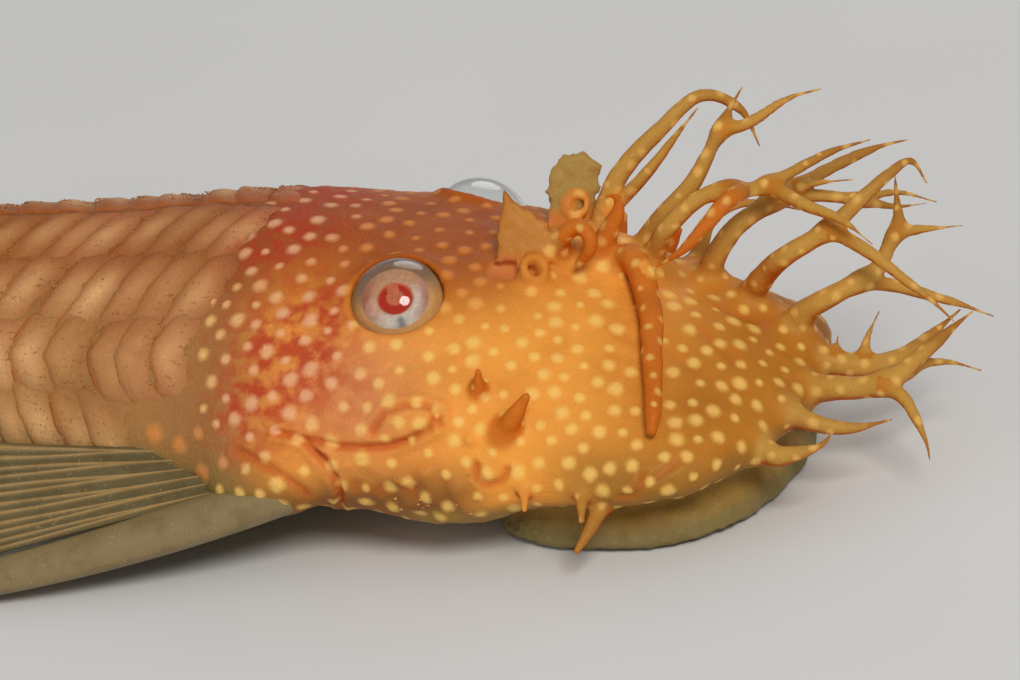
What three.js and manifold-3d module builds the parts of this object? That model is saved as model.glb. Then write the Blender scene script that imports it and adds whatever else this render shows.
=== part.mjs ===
// Bristlenose pleco, albino male, at life size: a still model of the whole fish resting on its belly.
// Units are millimetres. +X is forward, +Y is the fish's left and +Z is up; the floor is Z = 0.
// While it is built, X = 0 is the tip of the snout, so a place is given by its distance d behind it.
// At the end the group is shifted so that the origin is under the middle of the whole fish.
import Module from "manifold-3d";
import * as THREE from "three";
import { mergeVertices } from "three/addons/utils/BufferGeometryUtils.js";

const wasm = await Module();
wasm.setup();

// Driving dimensions of the body
const BODY_LENGTH = 98; // tip of the snout to the root of the tail fin
const SNOUT_HALF_WIDTH = 13.5;
const SNOUT_ROUNDING = 8.5; // length over which the snout reaches its full width
const SNOUT_POWER = 2.7;
const GAP = 0.3; // clearance between neighbouring pieces
const BODY_SIDES = 26;
const BODY_RINGS = 25;
const SWAY_START = 52; // the tail swings gently to the left behind this distance
const SWAY_LENGTH = 74;
const SWAY = 7;

// Outlines of the body, as [distance behind the snout, value]
const TOP_LINE = [[0, 7], [1.5, 8.6], [4, 10.5], [7, 12.1], [11, 14], [16, 15.9], [22.5, 17.1],
  [35, 18.6], [46, 17.9], [58, 17.4], [70, 16.4], [84, 14.5], [92, 13.8], [98, 14.2]];
const BELLY_LINE = [[0, 4.5], [3, 3.2], [10, 2.6], [20, 1.6], [28, 0.7], [40, 0.5], [60, 0.7], [70, 1.2],
  [80, 2.2], [90, 2.9], [98, 3]];
const HALF_WIDTH = [[8.5, 13.5], [16, 14], [24, 15.2], [30, 16], [38, 14.4], [50, 12.4], [62, 9.8],
  [75, 6.8], [88, 4.2], [98, 3.2]];
const WIDEST_LEVEL = [[0, 6], [8, 5.6], [22, 6.2], [35, 6.5], [50, 6.5], [70, 6.6], [98, 8.6]];
const UPPER_POWER = [[0, 1.7], [5, 1.5], [12, 1.7], [22.5, 2], [29, 1.75], [50, 1.7], [70, 1.7], [98, 2]];
const LOWER_POWER = [[0, 2.4], [18, 2.8], [24, 2.1], [28, 1.6], [33, 1.45], [42, 1.5], [58, 1.9],
  [98, 2.2]];

// Where the body is parted: the gill opening and the start of the tail
const GILL_CUT = { d: 31.5, z: 10, lean: -23 };
const TAIL_CUT = { d: 66, z: 8, lean: 14 };

// Eyes, nostrils, lips and cheeks on the right side; the left side mirrors them
const EYE_CENTRE = new THREE.Vector3(-23.1, -6.7, 14.6);
const EYE_RADIUS = 2.6;
const BROW_SPOT = new THREE.Vector3(-22.4, -8, 16);
const BROW_HEIGHT = 0.2;
const BROW_SPREAD = 2.8;
const NOSTRIL_SPOT = new THREE.Vector3(-15.3, -3.4, 15.3);
const NOSTRIL_AXIS = new THREE.Vector3(0.3, -0.35, 0.9).normalize();
const OPERCLE = { at: [-20.6, -13, 9.8], size: [3.3, 1.6, 1.7], pitch: 12 };
const CHEEK = { at: [-19.8, -12.4, 5.6], size: [6, 2.6, 3.1], pitch: 8 };
const LIPS = { d: 10.6, halfLength: 9.7, halfWidth: 11.5, height: 4, mouthLine: 8, power: 2.5 };

// The tentacles are laid out on an oblique plane, ahead of the right side and above it:
// u runs forward along that plane, v runs up it and w stands out of it to the right.
const VIEW = { yaw: 26.5, elevation: 22.5, roll: 9.5, distance: 450 };
const VIEW_CENTRE = new THREE.Vector3(-18.86, -0.79, 9.67);
const TENTACLE_SIDES = 5;
const TENTACLE_STEP = 2.1; // length of one straight stretch of a tentacle
const ROOT_DEPTH = 1.6; // how far a route is prolonged into the body
const THINNEST = 0.52; // least thickness of a feeler

// Arms of each tentacle: width at the root, then the route as [u, v, w]. The first arm grows from the
// snout and the others branch off it.
const TENTACLES = {
  tentacle_01: [
    { width: 1.3, route: [[5.6, 5.7, 1], [6.6, 9.9, 1.6], [9.4, 13.2, 1.6], [12.1, 15.4, 1.5],
      [14.5, 14.5, 1], [15.7, 12.2, 0.8]] },
    { width: 0.9, route: [[6.2, 8, 1.4], [8.6, 10.5, 3.6], [10.4, 12.8, 5.2], [11.8, 14.6, 6]] },
  ],
  tentacle_02: [
    { width: 1.4, route: [[7.9, 5, 1.2], [9.4, 7.4, 3], [11.5, 9.9, 4.5], [12.8, 12.4, 5],
      [13.9, 14.7, 5], [14.6, 15.9, 5]] },
    { width: 0.8, route: [[13.3, 13.2, 5], [14.9, 13.6, 5.8], [17.5, 15.2, 6.4], [19.5, 15.8, 6.4]] },
  ],
  tentacle_03: [
    { width: 1.2, route: [[8.7, 4.4, 2], [9.9, 7, 5], [12.3, 9.1, 6], [15.7, 9.6, 6],
      [18.7, 11.1, 5], [20.3, 11.9, 4.5], [22.6, 12.6, 4]] },
    { width: 0.9, route: [[16.3, 9.7, 5.9], [18.3, 8.6, 7.4], [20.9, 7.5, 9], [22.8, 6, 10]] },
    { width: 1.15, route: [[13.7, 9.35, 6.1], [14.4, 9.3, 7.1], [13.7, 8.8, 8.1],
      [12.3, 7.2, 8.3], [10.8, 5.6, 7.8], [9, 4.5, 6.6]] },
  ],
  tentacle_04: [
    { width: 1.2, blunt: true, route: [[2.9, 5.2, 3.5], [3.3, 6.5, 5.6], [4.3, 7.15, 6.4], [5, 6.5, 6.8],
      [5, 5.6, 6.7], [4.3, 4.8, 6.2]] },
  ],
  tentacle_05: [
    { width: 0.9, route: [[11.8, 4.2, -1.2], [12.1, 6.3, -1.6], [12.8, 7.7, -2.2], [14.6, 8.6, -3],
      [16.7, 8.5, -3.4], [18.2, 8.2, -3.8]] },
  ],
  tentacle_06: [
    { width: 1.3, route: [[12.3, 3.5, 0.6], [12.9, 5.2, 2], [14.1, 7, 2.6], [16.3, 8.6, 2],
      [18, 9.6, 1.4], [20.3, 10.9, 0.8], [23.3, 12.2, 0.2], [25, 12.6, 0]] },
    { width: 0.6, route: [[17.8, 9.5, 1.4], [19.4, 9.9, 2.2], [21.5, 10.1, 2.6]] },
    { width: 0.9, route: [[16.4, 8.7, 2], [18.7, 9.1, 1], [21.3, 8.9, 0.6], [24.3, 8.4, 0.4],
      [26.2, 8.6, 0.2]] },
    { width: 0.6, route: [[21.9, 8.8, 0.5], [24.3, 9.3, -1], [26.8, 8.7, -2]] },
  ],
  tentacle_07: [
    { width: 1.4, route: [[14.8, 2.3, 1.4], [16.2, 4.3, 4.2], [17.5, 5.4, 6], [20.1, 7, 6.8],
      [21.8, 8.6, 6.8], [23.8, 10.4, 6.6], [25.2, 11.3, 6.2], [26.2, 9.9, 5.8]] },
    { width: 0.9, route: [[20, 7, 6.8], [22.3, 5.7, 7.8], [24.7, 3.9, 8.6], [26.5, 2.5, 9],
      [27.9, 1.2, 9.2]] },
  ],
  tentacle_08: [
    { width: 1.4, route: [[17.3, 0.7, 2.1], [18.7, 1.9, 3.9], [20.3, 2.8, 4.8], [21.8, 3.6, 4.6],
      [23.1, 4.5, 4.4], [23.9, 6.1, 4.2], [24.4, 7.1, 4.2], [24.3, 9.1, 3.6], [24.2, 10.4, 3.2]] },
    { width: 0.7, route: [[24.3, 6.8, 4.2], [26.2, 7, 5], [28.4, 7.2, 5.4]] },
    { width: 0.9, route: [[22.1, 3.7, 4.5], [24.3, 3.4, 3.6], [26.4, 2.8, 3.2], [28.2, 2.3, 2.8],
      [30.4, 1.5, 2.4]] },
  ],
  tentacle_09: [
    { width: 1.4, route: [[18.9, -0.9, 2.4], [20.3, -1.4, 2.9], [21.9, -1.6, 2.8], [23.4, -1.4, 2.4],
      [24.8, -0.9, 2], [26.8, 0.6, 1], [28.3, 1.9, 0.4]] },
    { width: 0.7, route: [[20.3, -1.3, 2.8], [20.5, -0.6, 2.8], [20.6, 0.2, 2.8]] },
    { width: 0.7, route: [[22.1, -1.6, 2.7], [22.5, 0.2, 2.6], [23.2, 1.8, 2.6]] },
  ],
  tentacle_10: [
    { width: 1.5, route: [[18.3, -3.1, 5.1], [20.5, -3, 6], [22, -3, 6.4], [23.8, -2.6, 6.8],
      [25.8, -1, 6.2], [28.1, 1, 5.6], [29.1, 1.8, 5.2]] },
    { width: 0.9, route: [[23.4, -2.8, 6.8], [24.7, -3.6, 7.8], [25.3, -4.5, 8.6], [26.2, -6.5, 9.6],
      [26.4, -7.5, 10]] },
    { width: 0.8, route: [[23.7, -2.6, 6.7], [25, -2.2, 5], [26, -1.5, 4.2], [27.7, -1.4, 3.6],
      [29.6, -1.9, 3.2]] },
  ],
  tentacle_11: [
    { width: 1.2, route: [[17.1, -4.4, 7.7], [19.1, -5.2, 8.6], [20.5, -5.5, 8.8], [21.9, -5.5, 9],
      [24, -5, 8.6]] },
  ],
  tentacle_12: [
    { width: 1.3, route: [[15.6, -6.7, 10], [16.8, -7.3, 11], [17.7, -7.2, 11.4], [18.6, -7, 11.8],
      [19.6, -6.6, 11.8], [20.3, -5.8, 11.4]] },
  ],
  tentacle_13: [
    { width: 1.6, blunt: true, route: [[7, 4.2, 3.4], [7.5, 5.2, 4.7], [8.2, 4.4, 5.9], [8.6, 2.8, 6.9],
      [8.9, 1.3, 8.3], [8.9, -0.4, 9.8], [9, -2.6, 11.7], [9, -4.5, 13.2], [8.9, -5.7, 13.8]] },
  ],
  tentacle_14: [
    { width: 1.5, route: [[5.3, 4.9, 3], [6.1, 6.6, 4.4], [6.8, 8.1, 5.2], [6.8, 8.9, 5.6],
      [6.3, 9.1, 5.9], [5.6, 8.9, 6.1]] },
  ],
};

// Short tentacles in a row along the margin of the snout, each side
const MARGIN_TENTACLES = [
  { width: 0.8, route: [[-2, -3.4, 10.2], [-2, -2.7, 11.2], [-2, -2, 11.8]] },
  { width: 1.5, route: [[-0.3, -5.8, 11], [0.2, -4.9, 12.3], [1, -3.6, 13.2]] },
  { width: 0.8, route: [[0.9, -9, 10.9], [0.9, -9.9, 12], [0.9, -10.7, 12.6]] },
  { width: 0.8, route: [[4.5, -9.3, 12.2], [4.5, -10.4, 13.4], [4.5, -11.4, 13.9]] },
];
const BARBEL = { width: 0.9, route: [[5.9, -10.1, 11.6], [5.2, -11.6, 12.6], [4.2, -13.3, 13.2]] };

// Skin flaps that part each pair of nostrils, as outlines on the oblique plane
const FLAP_THICKNESS = 0.55;
const FLAPS = {
  nostril_flap_right: { w: 5, outline: [[-0.9, 4.9], [-0.9, 6.6], [-0.4, 9.4], [2.5, 7.2], [3, 5]] },
  nostril_flap_left: { w: -0.4, outline: [[2.6, 6.7], [2.2, 10.1], [3, 11.5], [4.4, 11.9], [5.8, 11.4],
    [5.8, 9.9], [4.9, 6.7]] },
};

// Finish of each kind of surface
const FINISH = {
  head_skin: { color: 0xd08a3c, roughness: 0.45, metalness: 0 },
  trunk_skin: { color: 0xc08a62, roughness: 0.5, metalness: 0 },
  tentacle_skin: { color: 0xcf9440, roughness: 0.4, metalness: 0 },
  lip_skin: { color: 0xc49a62, roughness: 0.5, metalness: 0 },
  fin: { color: 0xb7a47a, roughness: 0.45, metalness: 0 },
  eye: { color: 0xb0402c, roughness: 0.08, metalness: 0 },
};

// Value of an outline at a distance, as a smooth curve through its points
function curveAt(outline, d) {
  const last = outline.length - 1;
  const x = THREE.MathUtils.clamp(d, outline[0][0], outline[last][0]);
  let i = 0;
  while (i < last - 1 && x >= outline[i + 1][0]) {
    i += 1;
  }
  const slope = (k) => {
    const before = outline[Math.max(k - 1, 0)];
    const after = outline[Math.min(k + 1, last)];
    return (after[1] - before[1]) / (after[0] - before[0]);
  };
  const span = outline[i + 1][0] - outline[i][0];
  const t = (x - outline[i][0]) / span;
  const rise = t * t * (3 - 2 * t);
  const start = t * (1 - t) * (1 - t) * span * slope(i);
  const end = -t * t * (1 - t) * span * slope(i + 1);
  return outline[i][1] * (1 - rise) + outline[i + 1][1] * rise + start + end;
}

function halfWidthAt(d) {
  if (d >= SNOUT_ROUNDING) {
    return curveAt(HALF_WIDTH, d);
  }
  const rest = (1 - d / SNOUT_ROUNDING) ** SNOUT_POWER;
  return SNOUT_HALF_WIDTH * (1 - rest) ** (1 / SNOUT_POWER);
}

function swayed(point) {
  const back = Math.max(-SWAY_START - point.x, 0) / SWAY_LENGTH;
  point.y += SWAY * back * back;
  return point;
}

// Moves every vertex of a geometry to where the given function puts it
function reshape(geometry, move) {
  const place = geometry.attributes.position;
  const point = new THREE.Vector3();
  for (let i = 0; i < place.count; i += 1) {
    move(point.fromBufferAttribute(place, i));
    place.setXYZ(i, point.x, point.y, point.z);
  }
  return geometry;
}

function volumeOf(geometry) {
  const [a, b, c] = [new THREE.Vector3(), new THREE.Vector3(), new THREE.Vector3()];
  const place = geometry.attributes.position;
  const corners = geometry.index.array;
  let sum = 0;
  for (let i = 0; i < corners.length; i += 3) {
    a.fromBufferAttribute(place, corners[i]);
    b.fromBufferAttribute(place, corners[i + 1]);
    c.fromBufferAttribute(place, corners[i + 2]);
    sum += a.dot(b.cross(c)) / 6;
  }
  return sum;
}

// Turns a closed geometry into a solid that can be joined and cut
function solidOf(geometry) {
  geometry.deleteAttribute("normal");
  geometry.deleteAttribute("uv");
  const merged = mergeVertices(geometry, 1e-4);
  const triVerts = new Uint32Array(merged.index.array);
  if (volumeOf(merged) < 0) {
    triVerts.reverse();
  }
  const vertProperties = new Float32Array(merged.attributes.position.array);
  return new wasm.Manifold(new wasm.Mesh({ numProp: 3, vertProperties, triVerts }));
}

function largestPiece(solid) {
  const pieces = solid.decompose();
  return pieces.reduce((best, piece) => (piece.volume() > best.volume() ? piece : best));
}

function joined(solids) {
  return solids.reduce((sum, solid) => sum.add(solid));
}

function mirrored(geometry) {
  return reshape(geometry, (p) => p.setY(-p.y));
}

// The whole body without fins, lips or tentacles, larger all round by the given amount
function bodySolid(grow = 0) {
  const noseStart = 0.12;
  const packing = 1.35; // rings lie closer together at the snout
  const shell = new THREE.CylinderGeometry(1, 1, 1, BODY_SIDES, BODY_RINGS);
  const brow = BROW_SPOT.clone();
  return solidOf(reshape(shell, (p) => {
    const along = 0.5 - p.y;
    const d = noseStart + (BODY_LENGTH - noseStart) * along ** packing;
    const reach = Math.hypot(p.x, p.z);
    const angle = Math.atan2(p.x, p.z);
    const level = curveAt(WIDEST_LEVEL, d);
    const isUpper = p.x > 0;
    const height = (isUpper ? curveAt(TOP_LINE, d) - level : level - curveAt(BELLY_LINE, d)) + grow;
    const power = 2 / (isUpper ? curveAt(UPPER_POWER, d) : curveAt(LOWER_POWER, d));
    const wide = Math.abs(Math.cos(angle)) ** power * Math.sign(Math.cos(angle));
    const tall = Math.abs(Math.sin(angle)) ** power * Math.sign(Math.sin(angle));
    const ends = along < 0.001 ? grow : along > 0.999 ? -grow : 0;
    p.set(-d + ends, reach * (halfWidthAt(d) + grow) * wide, level + reach * height * tall);
    brow.y = Math.sign(p.y) * -BROW_SPOT.y;
    const near = Math.exp(-p.distanceToSquared(brow) / (2 * BROW_SPREAD ** 2));
    p.z += BROW_HEIGHT * near;
    p.y += Math.sign(p.y) * 0.5 * BROW_HEIGHT * near;
    swayed(p);
  }));
}

// The half of space in front of a leaning cut, as a large block
function blockAhead(cut, shift = 0) {
  const size = 200;
  const block = new THREE.BoxGeometry(size, size, size);
  block.translate(size / 2 + shift, 0, 0);
  block.rotateY(THREE.MathUtils.degToRad(cut.lean));
  block.translate(-cut.d, 0, cut.z);
  return solidOf(block);
}

const aboveFloor = solidOf(new THREE.BoxGeometry(400, 400, 100).translate(0, 0, 50));

function ellipsoid({ at, size, pitch }, side, grow = 0) {
  const ball = new THREE.SphereGeometry(1, 12, 7);
  ball.scale(size[0] + grow, size[1] + grow, size[2] + grow);
  ball.rotateY(THREE.MathUtils.degToRad(pitch));
  ball.translate(at[0], side * at[1], at[2]);
  return solidOf(ball);
}

function eyeball(side, grow = 0) {
  const ball = new THREE.SphereGeometry(EYE_RADIUS + grow, 14, 9);
  ball.translate(EYE_CENTRE.x, EYE_CENTRE.y, EYE_CENTRE.z);
  return solidOf(side > 0 ? ball : mirrored(ball));
}

// The round sucker: a broad rim that lies on the floor, hollowed in the middle
function suckerDisc(grow = 0) {
  const profile = [[0, 1], [0.62, 1], [0.72, 0], [0.97, 0], [1, 0.5], [0.93, 1.9], [0.8, LIPS.height],
    [0, LIPS.height]].map(([radius, z]) => new THREE.Vector2(radius, z));
  const disc = new THREE.LatheGeometry(profile, 24);
  disc.rotateX(Math.PI / 2);
  reshape(disc, (p) => {
    const radius = Math.hypot(p.x, p.y);
    const angle = Math.atan2(p.y, p.x);
    const squareness = (Math.abs(Math.cos(angle)) ** LIPS.power + Math.abs(Math.sin(angle)) ** LIPS.power)
      ** (-1 / LIPS.power);
    const wide = radius * squareness;
    p.x = wide * Math.cos(angle) * (LIPS.halfLength + grow);
    p.y = wide * Math.sin(angle) * (LIPS.halfWidth + grow);
  });
  disc.translate(-LIPS.d, 0, 0);
  return solidOf(disc);
}

// A point of the oblique plane in which the tentacles are laid out
const view = (() => {
  const rad = THREE.MathUtils.degToRad;
  const toward = new THREE.Vector3(
    Math.sin(rad(VIEW.yaw)) * Math.cos(rad(VIEW.elevation)),
    -Math.cos(rad(VIEW.yaw)) * Math.cos(rad(VIEW.elevation)),
    Math.sin(rad(VIEW.elevation)),
  );
  const level = new THREE.Vector3(Math.cos(rad(VIEW.yaw)), Math.sin(rad(VIEW.yaw)), 0);
  const forward = level.clone().applyAxisAngle(toward, -rad(VIEW.roll));
  const upward = new THREE.Vector3().crossVectors(toward, forward);
  return { toward, forward, upward };
})();

function onPlane([u, v, w]) {
  const shrink = 1 - w / VIEW.distance;
  return VIEW_CENTRE.clone()
    .addScaledVector(view.forward, u * shrink)
    .addScaledVector(view.upward, v * shrink)
    .addScaledVector(view.toward, w);
}

// A round feeler along a smooth curve: a tube that thins to a point, or to a blunt end
function feeler({ width, route, blunt = false, mirror = false, branch = false }, grow = 0) {
  const points = route.map(onPlane);
  if (!branch) {
    points.unshift(points[0].clone().sub(points[1]).setLength(ROOT_DEPTH).add(points[0]));
  }
  const curve = new THREE.CatmullRomCurve3(points, false, "centripetal");
  const steps = Math.max(3, Math.round(curve.getLength() / TENTACLE_STEP));
  const frames = curve.computeFrenetFrames(steps, false);
  const tube = new THREE.CylinderGeometry(1, 1, 1, TENTACLE_SIDES, steps);
  const keep = blunt ? 0.55 : 0.3; // share of the width left near the tip
  reshape(tube, (p) => {
    const along = 0.5 - p.y;
    const step = Math.round(along * steps);
    const thick = Math.max(width * (1 - (1 - keep) * along ** 1.6), THINNEST) / 2 + grow;
    const radius = thick * (along > 0.999 ? 0.6 : 1);
    const [side, up] = [p.x * radius, p.z * radius];
    p.copy(curve.getPointAt(along));
    p.addScaledVector(frames.normals[step], side);
    p.addScaledVector(frames.binormals[step], up);
  });
  return solidOf(mirror ? mirrored(tube) : tube);
}

// A thin plate whose outline is drawn on the oblique plane
function flap({ w, outline }) {
  const shape = new THREE.Shape(outline.map(([u, v]) => new THREE.Vector2(u, v)));
  const plate = new THREE.ExtrudeGeometry(shape, { depth: FLAP_THICKNESS, bevelEnabled: false, steps: 1 });
  return solidOf(reshape(plate, (p) => p.copy(onPlane([p.x, p.y, w + p.z]))));
}

// A raised ring round the front nostril
function nostrilTube(side, grow = 0) {
  const [inner, outer, top] = [0.5 - grow, 0.95 + grow, 0.7 + grow];
  const profile = [[inner, -0.6], [outer, -0.6], [outer - 0.1, top], [inner, top], [inner, -0.6]];
  const ring = new THREE.LatheGeometry(profile.map(([r, z]) => new THREE.Vector2(r, z)), 8);
  ring.applyQuaternion(new THREE.Quaternion().setFromUnitVectors(new THREE.Vector3(0, 1, 0), NOSTRIL_AXIS));
  ring.translate(NOSTRIL_SPOT.x, NOSTRIL_SPOT.y, NOSTRIL_SPOT.z);
  return solidOf(side > 0 ? ring : mirrored(ring));
}

// A fin: rays fan out from a root line between two directions, with thickness from root to tip
function fan(fin, side = 1) {
  const { along = 6, across = 6 } = fin;
  const plate = new THREE.BoxGeometry(1, 1, 1, along, 1, across);
  const [front, back] = [new THREE.Vector3(...fin.rootFront), new THREE.Vector3(...fin.rootBack)];
  const [first, last] = [new THREE.Vector3(...fin.aimFront), new THREE.Vector3(...fin.aimBack)];
  const surface = (a, c) => {
    const aim = first.clone().lerp(last, c).normalize();
    const length = THREE.MathUtils.lerp(fin.lengths[0], fin.lengths[1], c)
      + (fin.bulge ?? 0) * Math.sin(Math.PI * c);
    const point = front.clone().lerp(back, c).addScaledVector(aim, length * a);
    return point;
  };
  const step = 0.01;
  return solidOf(reshape(plate, (p) => {
    const [a, c, half] = [p.x + 0.5, p.z + 0.5, p.y];
    const here = surface(a, c);
    const alongRay = surface(a + step, c).sub(here);
    const acrossRay = surface(a, c + step).sub(here);
    const normal = alongRay.cross(acrossRay).normalize();
    const thickness = THREE.MathUtils.lerp(fin.thickness[0], fin.thickness[1], a ** 0.7);
    p.copy(here).addScaledVector(normal, half * thickness);
    p.y *= side;
    swayed(p);
  }));
}

// A stout fin spine with a rounded flat section, bowed outward in the middle
function spine({ from, to, bow, width, thickness }, side = 1) {
  const tube = new THREE.CylinderGeometry(1, 1, 1, 8, 6);
  const [start, end] = [new THREE.Vector3(...from), new THREE.Vector3(...to)];
  const aim = end.clone().sub(start);
  const aside = new THREE.Vector3(0, 0, 1).cross(aim).normalize();
  const up = aim.clone().cross(aside).normalize();
  return solidOf(reshape(tube, (p) => {
    const along = 0.5 - p.y;
    const taper = 1 - 0.5 * along ** 2.2;
    const [across, rise] = [p.x * taper * width / 2, p.z * taper * thickness / 2];
    p.copy(start).addScaledVector(aim, along).addScaledVector(aside, across).addScaledVector(up, rise);
    p.addScaledVector(new THREE.Vector3(...bow), 4 * along * (1 - along));
    p.y *= side;
    swayed(p);
  }));
}

const topAt = (d) => curveAt(TOP_LINE, d);

// Fins on the right side; the left ones mirror them
const PECTORAL = {
  spine: { from: [-26.2, -13.5, 6.2], to: [-57, -23.4, 0.7], bow: [0, -0.6, -0.8], width: 3.9,
    thickness: 2.8 },
  fan: { rootFront: [-28.2, -13.8, 6], rootBack: [-33, -13.6, 7.6], aimFront: [-29, -9.4, -4.6],
    aimBack: [-20, -0.1, 0.1], lengths: [28, 21], bulge: 2, thickness: [1.2, 0.6], along: 4, across: 4 },
};
const PELVIC = {
  spine: { from: [-54.5, -6, 1.6], to: [-76, -14.2, 0.3], bow: [0, 0, 0], width: 2.4, thickness: 1.7 },
  fan: { rootFront: [-55, -6, 1.4], rootBack: [-57.5, -3, 1.2], aimFront: [-21.5, -8.2, -0.9],
    aimBack: [-14, -0.8, -0.5], lengths: [23, 14], bulge: 2.5, thickness: [1.2, 0.7], along: 4, across: 4 },
};
const DORSAL = { rootFront: [-49.5, 0, topAt(49.5) - 0.8], rootBack: [-75, 0, topAt(75) - 0.8],
  aimFront: [-25, 0, 1.1], aimBack: [-10, 0, 0.2], lengths: [25.5, 11], thickness: [1.5, 0.9],
  along: 6, across: 5 };
const ADIPOSE = { rootFront: [-83.5, 0, topAt(83.5) - 0.8], rootBack: [-91, 0, topAt(91) - 0.8],
  aimFront: [-7, 0, 3.2], aimBack: [-3, 0, 0.8], lengths: [7.4, 1.8], thickness: [1.3, 0.6],
  along: 4, across: 4 };
const ANAL = { rootFront: [-71.5, 0, 2], rootBack: [-77.5, 0, 2.4], aimFront: [-9.5, 0, -1.6],
  aimBack: [-6, 0, 0.2], lengths: [10.5, 6], thickness: [1.1, 0.6], along: 4, across: 4 };
const CAUDAL = { rootFront: [-96.5, 0, 14], rootBack: [-96.5, 0, 3.2], aimFront: [-24, 0, 7.4],
  aimBack: [-28, 0, -3.1], lengths: [27, 31.5], bulge: -9, thickness: [3.4, 0.7], along: 5, across: 10 };

function pairedFin(fin, side, clear) {
  const whole = joined([spine(fin.spine, side), fan(fin.fan, side)]);
  return largestPiece(whole.subtract(clear).intersect(aboveFloor));
}

function medianFin(fin, clear) {
  return largestPiece(fan(fin).subtract(clear).intersect(aboveFloor));
}

const group = new THREE.Group();

function addPart(name, solid, finish) {
  const mesh = solid.getMesh();
  const geometry = new THREE.BufferGeometry();
  geometry.setAttribute("position", new THREE.BufferAttribute(new Float32Array(mesh.vertProperties), 3));
  geometry.setIndex(new THREE.BufferAttribute(new Uint32Array(mesh.triVerts), 1));
  geometry.computeVertexNormals();
  const part = new THREE.Mesh(geometry, new THREE.MeshStandardMaterial(FINISH[finish]));
  part.name = name;
  group.add(part);
}

const SIDES = { right: 1, left: -1 };
const body = bodySolid();
const clearOfBody = bodySolid(GAP);
const disc = suckerDisc();

// Head, trunk and tail, parted at the gill opening and behind the dorsal fin
function makeBody() {
  let head = body.intersect(blockAhead(GILL_CUT, GAP)).subtract(suckerDisc(GAP));
  for (const side of Object.values(SIDES)) {
    head = head.subtract(eyeball(side, GAP));
    head = head.subtract(ellipsoid(OPERCLE, side, GAP));
    head = head.subtract(ellipsoid(CHEEK, side, GAP));
  }
  addPart("head", largestPiece(head), "head_skin");
  const behindGill = body.subtract(blockAhead(GILL_CUT));
  addPart("trunk", largestPiece(behindGill.intersect(blockAhead(TAIL_CUT, GAP))), "trunk_skin");
  addPart("tail", largestPiece(body.subtract(blockAhead(TAIL_CUT))), "trunk_skin");
}

// Eyes, gill covers, cheeks and nostrils of both sides
function makeFace() {
  for (const [label, side] of Object.entries(SIDES)) {
    addPart(`eye_${label}`, eyeball(side), "eye");
    const cheek = ellipsoid(CHEEK, side).subtract(suckerDisc(GAP)).intersect(aboveFloor);
    const opercle = ellipsoid(OPERCLE, side).subtract(ellipsoid(CHEEK, side, GAP));
    addPart(`cheek_${label}`, largestPiece(cheek), "head_skin");
    addPart(`opercle_${label}`, largestPiece(opercle), "head_skin");
  }
}

// Upper and lower lip, parted by the line of the mouth
function makeLips() {
  const mouthCut = { d: LIPS.mouthLine, z: 0, lean: 0 };
  addPart("upper_lip", largestPiece(disc.intersect(blockAhead(mouthCut, 0.5))), "lip_skin");
  addPart("lower_lip", largestPiece(disc.subtract(blockAhead(mouthCut))), "lip_skin");
}

function makeNostrils(taken) {
  for (const [label, side] of Object.entries(SIDES)) {
    const tube = nostrilTube(side).subtract(clearOfBody);
    addPart(`nostril_tube_${label}`, largestPiece(tube), "head_skin");
    const plate = flap(FLAPS[`nostril_flap_${label}`]).subtract(clearOfBody).subtract(taken);
    const clear = plate.subtract(nostrilTube(side, GAP));
    addPart(`nostril_flap_${label}`, largestPiece(clear), "head_skin");
  }
}

// Branched tentacles of the snout, and the short ones along its margin
function makeTentacles() {
  const mouthRoom = suckerDisc(GAP);
  let taken = clearOfBody;
  for (const [name, arms] of Object.entries(TENTACLES)) {
    const limbs = arms.map((arm, index) => ({ ...arm, branch: index > 0 }));
    const whole = joined(limbs.map((limb) => feeler(limb)));
    addPart(name, largestPiece(whole.subtract(taken)), "tentacle_skin");
    taken = taken.add(joined(limbs.map((limb) => feeler(limb, GAP))));
  }
  for (const [label, side] of Object.entries(SIDES)) {
    MARGIN_TENTACLES.forEach((arm, index) => {
      const tip = feeler({ ...arm, mirror: side < 0 }).subtract(taken).subtract(mouthRoom);
      addPart(`margin_tentacle_${label}_${index + 1}`, largestPiece(tip), "tentacle_skin");
    });
    const barbel = feeler({ ...BARBEL, mirror: side < 0 }).subtract(taken).subtract(mouthRoom);
    addPart(`barbel_${label}`, largestPiece(barbel.intersect(aboveFloor)), "tentacle_skin");
  }
  return taken;
}

function makeFins() {
  addPart("dorsal_fin", medianFin(DORSAL, clearOfBody), "fin");
  addPart("adipose_fin", medianFin(ADIPOSE, clearOfBody), "fin");
  addPart("anal_fin", medianFin(ANAL, clearOfBody), "fin");
  addPart("caudal_fin", medianFin(CAUDAL, clearOfBody), "fin");
  for (const [label, side] of Object.entries(SIDES)) {
    addPart(`pectoral_fin_${label}`, pairedFin(PECTORAL, side, clearOfBody), "fin");
    addPart(`pelvic_fin_${label}`, pairedFin(PELVIC, side, clearOfBody), "fin");
  }
}

makeBody();
makeFace();
makeLips();
makeNostrils(makeTentacles());
makeFins();

// The origin goes under the middle of the fish, on the floor
const bounds = new THREE.Box3().setFromObject(group);
const middle = bounds.getCenter(new THREE.Vector3());
group.position.set(-middle.x, -middle.y, -bounds.min.z);
group.updateMatrixWorld(true);

export default group;
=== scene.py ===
import math
from types import SimpleNamespace

import bpy
import numpy as np
import openvdb
from mathutils import Matrix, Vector
from mathutils.kdtree import KDTree


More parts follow.
